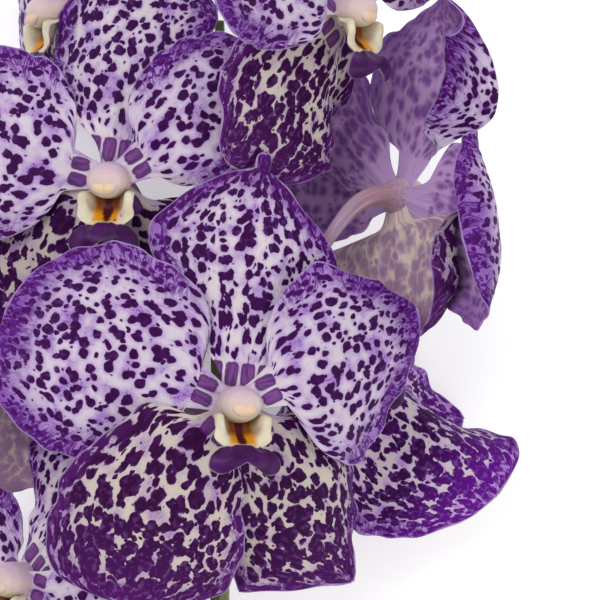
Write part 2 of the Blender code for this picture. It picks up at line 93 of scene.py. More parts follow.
# The blooms. at is the middle of the column, turn its yaw, pitch and roll in degrees, joins the
# height on the stem where its stalk grows. A tepal gives what sets it off from its kind's form.
BLOOMS = {}
BLOOMS["front"] = dict(
    at=(-15.75, -26.25, 42), turn=(16, -6, -3), joins=-65,
    dorsal_sepal=dict(
        lean=85.5, length=58.5, width=(26.5, 23.5), flare=(4.0, 3.4), tip=(1.55, 1.15), rise=(2, 4, 2),
        twist=(-14, -5, -4), cup=((0, -0.01, -0.015), (0, -0.015, -0.02)), foot=-0.6, widest=(0.6, 0.56),
        apex=2.3, top=0.92),
    petal_left=dict(
        lean=159, length=57.5, width=(29, 26), flare=(0.8, 0.6), tip=(2.1, 1.9), rise=(8, -10, -24),
        twist=(3, -17, 3), cup=((0, -0.005, 0), (0, -0.005, -0.015)), foot=-0.9),
    petal_right=dict(
        length=52.5, width=(24, 30), widest=(0.52, 0.47), flare=(1.1, 0.75), tip=(1.1, 1.35),
        rise=(17, -11, -13, -25), sweep=(0, 2, 4), twist=(-8, 20, 12),
        cup=((0, -0.005, -0.02), (0, -0.008, -0.015)), foot=1, lean=28),
    lateral_sepal_left=dict(
        length=52.5, width=(24.5, 26), widest=(0.65, 0.6), flare=(1.4, 1.2), tip=(2, 3.3),
        rise=(-1, -10, -15), sweep=(0, 16, 27), twist=(-9, 0, 4),
        cup=((0, -0.01, -0.01), (0, -0.02, -0.03)), foot=0.1),
    lateral_sepal_right=dict(
        lean=-46, length=53.5, width=(19, 26), widest=(0.55, 0.7), flare=(1.4, 1.3), tip=(1, 0.9),
        rise=(-15, -18, -23), sweep=(0, -6, -4), twist=(0, 7, -10),
        cup=((0, -0.03, -0.05, 0), (0, -0.005, -0.01)), foot=-1))
BLOOMS["upper_left"] = dict(
    at=(-48, 30.5, 30), turn=(-10, 4, 0), joins=5,
    dorsal_sepal=dict(
        lean=80, length=58, width=(24.5, 22), widest=(0.55, 0.65), flare=(2.8, 4), tip=(1.8, 1.9),
        rise=(-6, -23, -27), sweep=(0, 10, 0), twist=(8, -4, 0),
        cup=((0, -0.025, -0.025), (0, -0.015, -0.02)), foot=-1.3),
    petal_left=dict(
        lean=163, length=49.5, width=(25, 25.5), widest=0.5, flare=(1.3, 0.8), tip=(2, 2.2),
        rise=(3, -7, -23), sweep=(6, -5, 0), twist=(5, 9, -5),
        cup=((0, -0.01, -0.01), (0, -0.005, -0.005))),
    petal_right=dict(
        lean=30, length=48, width=(21.5, 18), widest=(0.55, 0.6), flare=(0.9, 1.1), tip=(2.2, 2.3),
        rise=(5, -10, -46), sweep=(0, 5, 0), twist=(0, 11, 0),
        cup=((0, -0.035, -0.035), (0, -0.01, -0.02)), foot=0.6),
    lateral_sepal_left=dict(lean=-126, length=48.5, rise=(-5, -10, -17), sweep=(-10, 14, 22), foot=-0.4),
    lateral_sepal_right=dict(lean=-63, length=47.5, rise=(-17, -49, -17), foot=-1.2))
BLOOMS["top"] = dict(
    at=(11.75, 74.5, 26), turn=(52, 5, 0), joins=52.5,
    dorsal_sepal=dict(lean=102, length=45.5, rise=(-13, -13, -28), foot=-1.1),
    petal_left=dict(
        lean=162, length=50, width=(20.5, 25), widest=(0.55, 0.6), tip=(2.3, 1.9), rise=(13, -1, -19),
        sweep=(6, 5, -8), twist=(13, -5, 18), cup=((0, -0.015, -0.02), (0, -0.005, -0.01))),
    petal_right=dict(lean=44, length=50.5, width=20, rise=(22, -22, -67), foot=0),
    lateral_sepal_left=dict(
        lean=-121, length=46.8, width=(28, 17), widest=(0.65, 0.5), flare=(1.7, 0.9), tip=1.6,
        rise=(-21, -8, -34), sweep=(-17, 0, 12), twist=(-4, 5, 10),
        cup=((0, -0.01, 0.01), (0, -0.045, -0.015)), foot=0.2),
    lateral_sepal_right=dict(
        lean=-58, length=47.5, width=(17, 18.5), flare=(0.8, 1), tip=(1.6, 2.2), rise=(-25, -38, -71),
        sweep=(0, -40, -4), twist=(7, -19, 10), cup=((0, 0.005, 0), (0, -0.015, -0.015)), foot=-1.7))
BLOOMS["right"] = dict(
    at=(26.25, 27.5, -4), turn=(140, 0, -45), joins=-7.5,
    dorsal_sepal=dict(length=48.5, width=21, rise=(-4, -10, -31), foot=-1.1),
    petal_left=dict(
        lean=164, length=55.5, width=(34.5, 24.5), widest=(0.58, 0.45), flare=(1.9, 1.0), tip=(1.45, 1.1),
        rise=(19, -12, -45), sweep=(-16, 3, -5), twist=(-12, 11, 0),
        cup=((0, -0.01, -0.012), (0, 0.005, -0.025)), foot=0, fold=((0.54, -146), (0.9, 0))),
    petal_right=dict(
        lean=45, length=45, width=13, rise=(13, 4, -17), cup=((0, -0.05, -0.08), (0, -0.05, -0.05)),
        foot=1.1),
    lateral_sepal_left=dict(
        lean=-124, length=55.5, width=(25, 26.5), widest=0.6, flare=(1.5, 1.2), tip=(2.3, 2.8),
        rise=(0, -11, -40, -134), sweep=(11, 0, -25), twist=(4, 11, -3),
        cup=((0, -0.03, -0.01), (0, -0.005, -0.035)), foot=-1.6),
    lateral_sepal_right=dict(
        lean=-57, length=34, width=(26, 31), widest=(0.45, 0.6), flare=(1, 0.7), tip=(2.1, 1.3),
        rise=(-15, -7, -14), sweep=(0, 0, 14), twist=(0, 6, 3),
        cup=((0, -0.04, -0.02), (0, -0.01, -0.01)), foot=-1.7, fold=((0.9, 0), (0.8, -122))))
BLOOMS["low_right"] = dict(
    at=(10, -16, -16), turn=(30, -5, 68), joins=-47.5,
    dorsal_sepal=dict(lean=116, length=40.5, width=18, rise=(21, 69, -8), foot=0),
    petal_left=dict(lean=192, length=41.5, width=18, rise=(-21, 1, -56), foot=-0.5),
    petal_right=dict(lean=-8, length=41, width=17, rise=(-24, -54, -74), foot=-0.5),
    lateral_sepal_left=dict(
        lean=-109, length=54, width=(20, 32), widest=(0.7, 0.5), flare=(1.6, 1), tip=(2.4, 1.7),
        rise=(-13, 19, 23), sweep=(0, 0, -6), twist=(0, -6, 12), cup=((0, -0.085, -0.02), (0, -0.015, 0)),
        foot=0.2),
    lateral_sepal_right=dict(
        lean=-87, length=52.5, width=(11.5, 18), widest=(0.65, 0.7), flare=(0.9, 1.3), tip=(1.1, 1.5),
        rise=(-27, -24, 1), sweep=(0, -3, 12), twist=(0, 5, 3),
        cup=((0, -0.03, -0.04), (0, -0.01, -0.01)), foot=-1.3))
BLOOMS["low_left"] = dict(
    at=(-73, -73, 12), turn=(-40, -5, -14), joins=-100,
    dorsal_sepal=dict(
        lean=77, length=46.5, width=(26, 25.5), flare=(3.5, 2.7), rise=(-9, -13, -31), sweep=(-21, 0, 5),
        twist=(-3, 7, -4), cup=((0, -0.005, -0.03), (0, -0.01, -0.02)), foot=-1),
    petal_left=dict(
        lean=171, length=31, width=(23, 18), widest=(0.55, 0.7), flare=(1.1, 1.5), rise=(-22, -11, -35),
        sweep=(-3, -6, 11), twist=(45, 8, -7), cup=((0, -0.005, -0.01), (0, 0, -0.005)), foot=0.5),
    petal_right=dict(lean=2, length=48, width=22, rise=(4, -20, -40), foot=0.7),
    lateral_sepal_left=dict(lean=-128, length=50.5, width=21, rise=(-30, -41, -71), foot=-0.1),
    lateral_sepal_right=dict(lean=-44, length=49.5, width=21, rise=(-15, -28, -22), foot=-0.8))
BLOOMS["top_left"] = dict(
    at=(-63.75, 76.25, 4), turn=(-60, 5, 0), joins=40,
    dorsal_sepal=dict(lean=117, length=50, width=22, rise=(-8, -29, -26), foot=-1.2),
    petal_left=dict(lean=175, length=48, width=23, rise=(0, -18, -32), foot=0.6),
    petal_right=dict(lean=73, length=48.5, width=20, rise=(18, -22, -59), foot=0.4),
    lateral_sepal_left=dict(lean=-123, length=48, width=20, rise=(-3, -44, -47)),
    lateral_sepal_right=dict(lean=-53, length=36, width=18, rise=(-18, -37, -64), foot=-1))
BLOOMS["left_back"] = dict(
    at=(-67.5, -20, -10), turn=(-120, 0, 10), joins=-30,
    dorsal_sepal=dict(length=46, width=20),
    petal_left=dict(lean=156, length=42.5, width=20, rise=(0, -14, -30)),
    petal_right=dict(length=49.5, width=20, rise=(26, 5, -8), foot=0.9),
    lateral_sepal_left=dict(lean=-133, length=44, width=19, rise=(-8, -28, -28), foot=-0.4),
    lateral_sepal_right=dict(lean=-35, length=33, width=19, rise=(-12, 4, 15), foot=-0.2))

# %% [markdown]
# The outline and the bend of a tepal are smooth curves through a few values. Catmull-Rom passes
# through each value, so the numbers can be read straight off a flower.

# %% Curves
def smooth(x):
    """Ease from 0 to 1 as x goes from 0 to 1."""
    x = np.clip(x, 0.0, 1.0)
    return x * x * (3 - 2 * x)


def along(values, u):
    """A smooth curve through evenly spaced values, read at u from 0 to 1."""
    v = np.atleast_1d(np.asarray(values, float))
    if len(v) == 1:
        return np.full_like(u, v[0])
    spans = len(v) - 1
    x = np.clip(u, 0, 1) * spans
    i = np.minimum(x.astype(int), spans - 1)
    f = x - i
    before = v[np.maximum(i - 1, 0)]
    start = v[i]
    end = v[i + 1]
    after = v[np.minimum(i + 2, spans)]
    linear = (end - before) * f
    square = (2 * before - 5 * start + 4 * end - after) * f ** 2
    cube = (3 * start - before - 3 * end + after) * f ** 3
    return 0.5 * (2 * start + linear + square + cube)


def sides(value):
    """The value on the left and on the right of a tepal, which may be the same."""
    return value if isinstance(value, tuple) else (value, value)

# %% [markdown]
# From above, a tepal is a narrow claw that opens into a round blade. The coarse solid has the same
# outline. Only the fine sheet has a claw that is filled out to meet its neighbours, a rounded tip
# and small waves along its margin, because a solid with few faces can't hold them.

# %% The outline
MARGIN_WAVE = 0.4
ROUND_FROM = 0.965
FILL_AT = 0.15
FILL_REACH = 0.085


def half_width(form, u, side):
    """Distance from the midline to the margin: a claw that opens into a round blade."""
    widest, flare, tip, width = (sides(form[key])[side] for key in ("widest", "flare", "tip", "width"))
    neck = form["neck"]
    below = np.clip((widest - u) / (widest - neck), 0, 1)
    above = np.clip((u - widest) / (form.get("top", 1) - widest), 0, 1)
    lower_edge = (1 - below ** 2) ** (flare / 2)
    upper_edge = (1 - above ** tip) ** (1 / tip)
    blade = np.where(u < neck, 0, np.where(u < widest, lower_edge, upper_edge))
    claw = (CLAW_WIDTH / 2 + CLAW_FLARE * form["length"] * u) * (1 - smooth(u / CLAW_END))
    outline = np.hypot(claw, width * blade) + form.get("apex", APEX_HALF_WIDTH) * u ** 4
    rounded = np.sqrt(1 - 0.9 * np.clip((u - ROUND_FROM) / (1 - ROUND_FROM), 0, 1) ** 2)
    filled = form["fill"] * np.exp(-((u - FILL_AT) / FILL_REACH) ** 2)
    seed = form["seed"]
    waves = np.sin(21 * u + 5 * side + seed) + 0.6 * np.sin(47 * u + 3 * side + 2 * seed)
    waves = MARGIN_WAVE * waves * smooth((u - 0.25) / 0.2) * smooth((1 - u) / 0.15)
    return outline * rounded + filled + waves

# %% [markdown]
# A tepal's middle surface follows its midline, and is cupped, rippled and sometimes folded across
# it. The same formula gives the solid and this sheet, so the sheet lies in the solid.

# %% The middle surface
RIPPLE_SHIFT = 0.37


def midline(form):
    """Stations along a tepal's midline: position, direction and the angle swept to the left."""
    g = np.linspace(0, 1, MIDLINE_STEPS + 1)
    rise = np.radians(along(form["rise"], g))
    sweep = np.radians(along(form["sweep"], g))
    direction = np.stack([np.cos(rise) * np.cos(sweep), np.cos(rise) * np.sin(sweep), np.sin(rise)], -1)
    steps = (direction[1:] + direction[:-1]) / 2 / MIDLINE_STEPS
    position = np.vstack([np.zeros((1, 3)), np.cumsum(steps, axis=0)]) * form["length"]
    return g, position, direction, sweep


def cross_section(form, u, t):
    """Distance to the left of the midline and towards the front: a cupped and sometimes folded arc."""
    on_left = t >= 0
    arc = t * np.where(on_left, half_width(form, u, 0), half_width(form, u, 1))
    cups = form["cup"] if isinstance(form["cup"][0], tuple) else (form["cup"], form["cup"])
    bend = np.where(on_left, along(cups[0], u), along(cups[1], u))
    bend = np.where(np.abs(bend) < 1e-5, 1e-5, bend)
    if "fold" not in form:
        return np.sin(bend * arc) / bend, (1 - np.cos(bend * arc)) / bend
    left_fold, right_fold = form["fold"]
    crease = np.where(on_left, left_fold[0], right_fold[0])
    turnover = np.sign(t) * np.radians(np.where(on_left, left_fold[1], right_fold[1]))
    along_blade = smooth((u - 0.08) / 0.25) * smooth((1 - u) / 0.12)
    sideways = np.zeros_like(arc)
    depth = np.zeros_like(arc)
    for step in range(FOLD_STEPS):
        share = (step + 0.5) / FOLD_STEPS
        turned = smooth((np.abs(t) * share - crease) / FOLD_SPREAD + 0.5) * along_blade
        angle = bend * arc * share + turnover * turned
        sideways += np.cos(angle) * arc / FOLD_STEPS
        depth += np.sin(angle) * arc / FOLD_STEPS
    return sideways, depth


def tepal_surface(form, u, t):
    """Points of a tepal's middle surface: u from foot to tip, t from its right margin to its left."""
    g, position, direction, sweep = midline(form)

    def read(rows):
        return np.stack([np.interp(u, g, rows[:, k]) for k in range(3)], -1)

    tangent = read(direction)
    tangent /= np.linalg.norm(tangent, axis=-1, keepdims=True)
    turned = np.interp(u, g, sweep)
    left = np.stack([-np.sin(turned), np.cos(turned), np.zeros_like(turned)], -1)
    front = np.cross(tangent, left)
    twist = np.radians(along(form["twist"], u))[..., None]
    across = left * np.cos(twist) + front * np.sin(twist)
    outward = front * np.cos(twist) - left * np.sin(twist)

    sideways, depth = cross_section(form, u, t)
    height, count, start = form["wave"]
    ripple = np.sin(2 * pi * (count * u + start + np.where(t >= 0, 0, RIPPLE_SHIFT)))
    depth = depth + height * np.abs(t) ** 2.2 * ripple * smooth(u / 0.35)
    return read(position) + across * sideways[..., None] + outward * depth[..., None]

# %% [markdown]
# Every piece ends up at the origin with its place in its mesh. So points go through the bloom's own
# turn and place, and then through REST, before they become vertices.

# %% From a bloom to the table
def turned_by(angles, order):
    """Three angles in degrees as a turn about the axes, in that order."""
    return np.array(Euler([radians(angle) for angle in angles], order).to_matrix())


def facing(turn):
    """The bloom's own axes as columns: yaw about Y, then pitch, then roll about its own axis."""
    yaw, pitch, roll = turn
    return turned_by((pitch, yaw, roll), "ZXY")


REST = turned_by(REST_TURN, "XYZ")


def to_table(points):
    """Millimetres in the spray's frame to metres on the table."""
    return (np.asarray(points) @ REST.T + np.array(REST_MOVE)) * MM


def from_bloom(points, bloom):
    """Millimetres in a bloom's frame to metres on the table."""
    return to_table(np.asarray(points) @ facing(bloom["turn"]).T + np.array(bloom["at"]))


for name, bloom in BLOOMS.items():
    print(name, "faces", np.round(REST @ facing(bloom["turn"])[:, 2], 2))

# %% [markdown]
# A sheet starts as a flat grid. Its points move onto the middle surface, a copy is pushed back and
# the first one forward by half the local thickness, and a strip bridges their edges. A real tepal
# is thick at the midrib and thin at the margin, so the thickness falls off sideways. A vertex also
# keeps notes on where it lies, and these become the map and the attributes that a finish reads.

# %% Thin sheets
def lay_grid(bm, rows, columns, crowding=0.0):
    """A flat grid and, for each vertex, how far up and how far across it lies."""
    bmesh.ops.create_grid(bm, x_segments=rows, y_segments=columns, size=1)
    flat = np.array([vertex.co for vertex in bm.verts])
    even = (flat[:, 0] + 1) / 2
    up = crowding * (1 - np.cos(pi * even)) / 2 + (1 - crowding) * even
    return up, flat[:, 1]


def move_to(bm, points):
    """Each vertex goes to its point."""
    for vertex, point in zip(bm.verts, points):
        vertex.co = point


def keep_notes(bm, **notes):
    """Each vertex stores one number for every note."""
    for key, values in notes.items():
        layer = bm.verts.layers.float.new(key)
        for vertex, value in zip(bm.verts, values):
            vertex[layer] = value


def thicken(bm, thickness):
    """Give the open sheet a back and an edge, and note on each vertex whether it is on the front."""
    front_layer = bm.verts.layers.float.new("front")
    bm.normal_update()
    outward = [vertex.normal.copy() for vertex in bm.verts]
    front = list(bm.verts)
    copy = bmesh.ops.duplicate(bm, geom=bm.verts[:] + bm.edges[:] + bm.faces[:])
    back = [copy["vert_map"][vertex] for vertex in front]
    back_faces = [item for item in copy["geom"] if isinstance(item, bmesh.types.BMFace)]
    bmesh.ops.reverse_faces(bm, faces=back_faces)
    for vertex, twin, normal, depth in zip(front, back, outward, thickness):
        vertex.co += normal * (depth / 2)
        twin.co -= normal * (depth / 2)
        vertex[front_layer] = 1.0
        twin[front_layer] = 0.0
    rim = [edge for edge in bm.edges if edge.is_boundary]
    bmesh.ops.bridge_loops(bm, edges=rim)
    bmesh.ops.recalc_face_normals(bm, faces=bm.faces[:])


def add_object(name, data):
    """A new object in the scene, at the origin."""
    thing = bpy.data.objects.new(name, data)
    bpy.context.collection.objects.link(thing)
    return thing


def add_mesh(name, bm, finish):
    """The bmesh as an object with one finish."""
    mesh = bpy.data.meshes.new(name)
    bm.to_mesh(mesh)
    bm.free()
    mesh.materials.append(finish)
    return add_object(name, mesh)


def add_piece(name, bm, node, finish):
    """Turn the bmesh into a smooth piece that stands for its node and stays above the table."""
    for vertex in bm.verts:
        vertex.co.z = max(vertex.co.z, 0)
    piece = add_mesh(name, bm, finish)
    piece.data.shade_smooth()
    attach(piece, "root")
    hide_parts(node)
    return piece


def write_notes(piece, sheet=(), **vectors):
    """Turn the notes into the UV map sheet, of two notes, and into attributes of three notes each."""
    mesh = piece.data
    keys = [*sheet] + [key for three in vectors.values() for key in three]
    notes = {key: np.zeros(len(mesh.vertices)) for key in keys}
    for key, values in notes.items():
        mesh.attributes[key].data.foreach_get("value", values)
    if sheet:
        corner = np.zeros(len(mesh.loops), int)
        mesh.loops.foreach_get("vertex_index", corner)
        places = np.stack([notes[key] for key in sheet], 1)[corner]
        mesh.uv_layers.new(name="sheet").uv.foreach_set("vector", places.ravel())
    for name, keys in vectors.items():
        values = np.stack([notes[key] for key in keys], 1)
        mesh.attributes.new(name, "FLOAT_VECTOR", "POINT").data.foreach_set("vector", values.ravel())
    for key in notes:
        mesh.attributes.remove(mesh.attributes[key])


# %% [markdown]
# A finish is built from Blender's shader nodes. Written out link by link it is hard to read. So a
# node's output is wrapped as a field, and a sum of fields, such as rim * 0.9 or 1 - rim, adds the
# Math node for it.

# %% Fields
class Field:
    """The output of a node, which can be used in sums like a number."""

    def __init__(self, socket):
        self.socket = socket

    def __add__(self, other):
        return maths("ADD", self, other)

    def __sub__(self, other):
        return maths("SUBTRACT", self, other)

    def __rsub__(self, other):
        return maths("SUBTRACT", other, self)

    def __mul__(self, other):
        return maths("MULTIPLY", self, other)

    def __mod__(self, other):
        return maths("MODULO", self, other)

    def __abs__(self):
        return maths("ABSOLUTE", self, 0.0)


def feed(socket, value):
    """A number, a colour or a field goes into the socket."""
    if isinstance(value, Field):
        socket.id_data.links.new(value.socket, socket)
    elif isinstance(value, tuple) and len(value) == 3 and len(socket.default_value) == 4:
        socket.default_value = (*value, 1.0)
    else:
        socket.default_value = value


def node(kind, values, tree=None, **settings):
    """A node with values for its inputs by name or number, in the tree of its fields; all its outputs."""
    if tree is None:
        tree = next(value.socket.id_data for value in values.values() if isinstance(value, Field))
    new = tree.nodes.new("ShaderNode" + kind)
    for key, value in settings.items():
        setattr(new, key, value)
    for key, value in values.items():
        feed(new.inputs[key], value)
    return [Field(socket) for socket in new.outputs]


def maths(operation, a, b):
    """One Math node."""
    return node("Math", {0: a, 1: b}, operation=operation)[0]


# %% [markdown]
# A few more functions add the other nodes that a finish is mixed from, and name what each does to
# the colour. With them every finish below reads like a recipe.

# %% The ingredients of a finish
def larger(a, b):
    """The larger of two shares, so that two patches join without doubling."""
    return maths("MAXIMUM", a, b)


def vector_maths(operation, *values):
    """Sums on whole vectors. A length is a number, and so the second output."""
    results = node("VectorMath", dict(enumerate(values)), operation=operation)
    return results[1 if operation == "LENGTH" else 0]


def split(vector):
    """The three numbers of a vector."""
    return node("SeparateXYZ", {0: vector})


def fade(value, start, end):
    """0 up to start and 1 from end on, with a smooth step between."""
    values = {"Value": value, "From Min": start, "From Max": end}
    return node("MapRange", values, interpolation_type="SMOOTHSTEP")[0]


def blend(share, below, above):
    """Colour below, covered with colour above by the share."""
    return node("Mix", {0: share, 6: below, 7: above}, data_type="RGBA")[2]


def noise(vector, scale, detail=2.0, roughness=0.5):
    """Clouds from 0 to 1."""
    values = {"Vector": vector, "Scale": scale, "Detail": detail, "Roughness": roughness}
    return node("TexNoise", values)[0]


def stretch(vector, scale, shift=(0, 0, 0)):
    """The vector with each axis scaled and moved."""
    return node("Mapping", {"Vector": vector, "Scale": scale, "Location": shift})[0]


class Finish:
    """One material. Its roughness, gloss and the light that seeps through are the same all over."""

    def __init__(self, name, roughness, gloss=0.5, glow=0.0, reach=(1.0, 0.2, 0.1)):
        self.material = bpy.data.materials.new(name)
        self.material.use_nodes = True
        self.tree = self.material.node_tree
        self.inputs = self.tree.nodes["Principled BSDF"].inputs
        self.inputs["Roughness"].default_value = roughness
        self.inputs["Specular IOR Level"].default_value = gloss
        self.inputs["Subsurface Weight"].default_value = glow
        self.inputs["Subsurface Radius"].default_value = reach

    def place(self):
        """The place on the object, in metres."""
        return node("TexCoord", {}, self.tree)[3]

    def note(self, name):
        """A vector attribute that the mesh keeps for the finish."""
        return node("Attribute", {}, self.tree, attribute_name=name)[1]

    def close(self, colour, height, strength, distance):
        """Colour and fine relief, from a height between 0 and 1, go to the shader."""
        feed(self.inputs["Base Color"], colour)
        bump = node("Bump", {"Height": height, "Strength": strength, "Distance": distance})[0]
        feed(self.inputs["Normal"], bump)
        return self.material


# %% [markdown]
# The flower's look is its blotches. On the plant they are patches of skin cells full of purple
# sap, each grown from one centre, which is just what Voronoi cells give: a spot round each centre.
# The smooth kind lets spots that nearly touch run together like drops. A slow noise bends the
# coordinates first, a finer one frays the outlines, and each cell draws its own radius, so no two
# spots match. The pattern follows the blade's own UV map, in which lengths across are squeezed
# towards the foot, where the spots become streaks, and lengths grow towards the margin and the
# tip, where the spots become small and crowded, as on the flower.

# %% Blotches
def bent_map(place, amount):
    """The map with its coordinates bent by a slow noise, so that rows and circles disappear."""
    slow = {"Vector": place, "Scale": 0.22, "Detail": 1.0, "Roughness": 0.5}
    bend = vector_maths("SUBTRACT", node("TexNoise", slow)[1], (0.5, 0.5, 0.5))
    return vector_maths("ADD", vector_maths("MULTIPLY", bend, (amount, amount, amount)), place)


def blotches(place, cell, longer, radius, extra, fray):
    """How deep in a spot a point lies, in parts of a cell; outside it is below 0."""
    low, high = radius
    cells = stretch(place, (1 / (cell * longer), 1 / cell, 1))
    values = {"Vector": cells, "Scale": 1.0, "Smoothness": 0.4, "Randomness": 0.9}
    distance, draw, *_ = node("TexVoronoi", values, voronoi_dimensions="2D", feature="SMOOTH_F1")
    draw = node("SeparateColor", {0: draw})[0]
    frayed = (noise(cells, 1.9) - 0.5) * fray
    return draw * (high - low) + low + extra + frayed - distance


# %% [markdown]
# Each blade has the same layers, in different strengths: a pale ground, a violet wash and a fine
# network of violet veins that gather towards the margin, clouds of freckles, a violet halo round
# the blotches, the blotches, a few soft patches at the foot and a thin pale line along the edge.
# The back shows the same blotches blurred, through the thickness of the blade.

# %% The finish of a tepal
PATCH_ASIDE = 2.1
PATCH_HALF = (1.7, 0.039)


def tepal_finish(name, look):
    """Front and back of a tepal, as dark and as crowded as its look says."""
    finish = Finish(name, 0.55, 0.06, 0.1, (0.0010, 0.0006, 0.0010))
    sheet_map = node("UVMap", {}, finish.tree, uv_map="sheet")[0]
    up, margin, front = split(finish.note("place"))
    rays = finish.note("rays")
    aside = split(rays)[2]

    clouds = noise(sheet_map, 0.13)
    inland = margin + (clouds - 0.5) * 9.0
    rim = (1 - fade(inland, 1.0, look["rim"])) * fade(up, 0.12, 0.45)
    drift = (clouds - 0.5) * look["uneven"]
    growth = fade(up, *look["grows"]) * look["growth"]
    near_foot = (1 - fade(up, 0.1, 0.34)) * look["foot"]
    on_claw = (1 - fade(up, 0.08, 0.13)) * 0.4
    extra = drift + growth - near_foot + rim * look["edge"] - on_claw
    bent = bent_map(sheet_map, look["bend"])
    inside = blotches(bent, look["cell"], look["longer"], look["radius"], extra, look["fray"])
    bent = stretch(bent, (1, 1, 1), (37.0, 11.0, 0))
    small = blotches(bent, look["cell"] * 0.6, 1.2, look["small"], extra, look["fray"])
    inside = larger(inside, small)

    washed = larger(rim, fade(clouds, 0.42, 0.75)) * look["wash"]
    colour = blend(washed, look["ground"], look["rim_colour"])
    deep = (1 - fade(inland, 1.0, 13.0)) * fade(up, 0.45, 0.85)
    colour = blend(deep * look["deep"], colour, look["freckle_colour"])
    colour = blend(fade(inside, -0.35, 0.0) * look["halo"], colour, look["rim_colour"])

    grain = noise(stretch(sheet_map, (0.9, 1.2, 1)), 1.0, 4.0, 0.72)
    gather = larger(fade(clouds, 0.52, 0.66), rim * 0.9)
    freckles = fade(grain, 0.53, 0.6) * gather * look["freckles"]
    colour = blend(freckles, colour, look["freckle_colour"])

    strands = noise(stretch(rays, (0.42, 0.15, 0.0)), 1.0, 2.0, 0.6)
    web = 1 - fade(abs(strands - 0.5), 0.015, 0.075)
    web = larger(web, fade(strands, 0.54, 0.64) * fade(rim, 0.3, 0.9) * 0.9)
    colour = blend(web * (fade(rim, 0.12, 0.9) * look["streaks"]), colour, look["streak_colour"])

    tone = noise(sheet_map, 0.55, 3.0)
    lit = fade(tone, 0.4, 0.7) * 0.5 + (1 - fade(inside, 0.0, 0.16)) * 0.5
    lit = larger(larger(lit, rim * 0.9), fade(up, 0.45, 0.95) * look["blue"])
    sap = blend(lit, look["sap_dark"], look["sap_light"])
    flecks = fade(tone, 0.5, 0.68) * look["flecks"] * fade(up, 0.3, 0.8)
    sap = blend(flecks, sap, look["rim_colour"])
    colour = blend(fade(inside, -0.035, 0.035), colour, sap)

    foot = node("CombineXYZ", {0: aside % look["patch_pitch"], 1: up})[0]
    wide, tall = PATCH_HALF
    oval = stretch(foot, (1 / wide, 1 / tall, 1), (-PATCH_ASIDE / wide, -look["patch_up"] / tall, 0))
    oval = vector_maths("LENGTH", vector_maths("MULTIPLY", oval, oval)) + (tone - 0.5) * 0.7
    darker = larger(fade(strands, 0.4, 0.65), fade(oval, 0.3, 0.8))
    patch = (1 - fade(oval, 0.75, 1.15)) * 0.95
    colour = blend(patch, colour, blend(darker, look["patch"], look["sap_light"]))

    line = (1 - fade(margin, 0.1, 0.5)) * fade(up, 0.14, 0.3)
    colour = blend(line * 0.7, colour, look["line"])

    # The backs' violet and cream are their own, but set lighter: painted light against the shade the backs
    # lie in.
    back = blend(fade(inside, -0.35, 0.25) * look["shows"], look["back"], look["sap_back"])
    back = blend(rim * 0.6, back, look["sap_back"])
    veins = noise(stretch(sheet_map, (0.04, 0.7, 1)), 1.0)
    back = blend(fade(veins, 0.5, 0.7) * 0.4, back, look["rim_colour"])
    colour = blend(fade(front, 0.4, 0.6), back, colour)
    ribs = noise(stretch(sheet_map, (0.05, 1.4, 1)), 1.0)
    return finish.close(colour, ribs + grain * 0.35, 0.3, 0.0004)


# %% [markdown]
# Colours are read from the photograph and given as linear light. Petals are lilac white with
# well separated spots, the dorsal sepal is whiter and denser, and the lateral sepals are cream,
# with blotches that run together into solid purple towards the tip. One lateral sepal of the right
# bloom is spotted like a petal, and those of the lower right bloom have wide violet margins.

# %% Four tepal finishes
PETAL_LOOK = dict(
    ground=(0.52, 0.45, 0.52), rim_colour=(0.26, 0.115, 0.43), freckle_colour=(0.12, 0.02, 0.24),
    streak_colour=(0.075, 0.004, 0.15), sap_dark=(0.026, 0.001, 0.038), sap_light=(0.055, 0.003, 0.094),
    patch=(0.15, 0.035, 0.20), patch_up=0.07, patch_pitch=20.0, line=(0.42, 0.30, 0.54),
    back=(0.47, 0.30, 0.54), sap_back=(0.15, 0.035, 0.25), cell=3.75, longer=1.1, radius=(0.23, 0.43),
    small=(-0.45, 0.38), bend=2.2, fray=0.34, uneven=0.2, grows=(0.5, 0.9), growth=0.02, foot=0.1,
    edge=-0.08, rim=11.0, wash=0.85, halo=0.4, freckles=0.85, streaks=1.0, shows=0.85, blue=0.3,
    flecks=0.15, deep=0.65)
DORSAL_LOOK = dict(
    PETAL_LOOK, ground=(0.54, 0.48, 0.51), patch_up=0.05, patch_pitch=3.9, cell=3.7,
    radius=(0.22, 0.46), small=(-0.35, 0.44), bend=2.8, fray=0.45, grows=(0.6, 1.0), growth=0.1,
    foot=0.05, edge=0.02, rim=9.0, freckles=0.7)
LATERAL_LOOK = dict(
    PETAL_LOOK, ground=(0.47, 0.415, 0.36), rim_colour=(0.26, 0.12, 0.38), sap_dark=(0.022, 0.0008, 0.026),
    sap_light=(0.065, 0.005, 0.10), streak_colour=(0.07, 0.005, 0.13), back=(0.62, 0.52, 0.44),
    sap_back=(0.27, 0.14, 0.27), cell=3.45, longer=1.25, radius=(0.3, 0.52), small=(-0.3, 0.47),
    bend=3.0, fray=0.48, uneven=0.15, grows=(0.35, 0.95), growth=0.17, foot=-0.06, edge=0.0, rim=6.5,
    wash=0.7, halo=0.15, freckles=0.5, streaks=0.8, blue=0.6, flecks=0.25, deep=0.3)
# Their violet margins are their own; their lilac ground is also set lighter, painted light against their
# shade.
VIOLET_LATERAL_LOOK = dict(
    LATERAL_LOOK, ground=(0.55, 0.47, 0.50), rim_colour=(0.38, 0.18, 0.56), sap_light=(0.095, 0.003, 0.20),
    streak_colour=(0.10, 0.006, 0.20), rim=8.0, wash=0.9, blue=1.0, edge=-0.16, growth=0.2, deep=0.0)
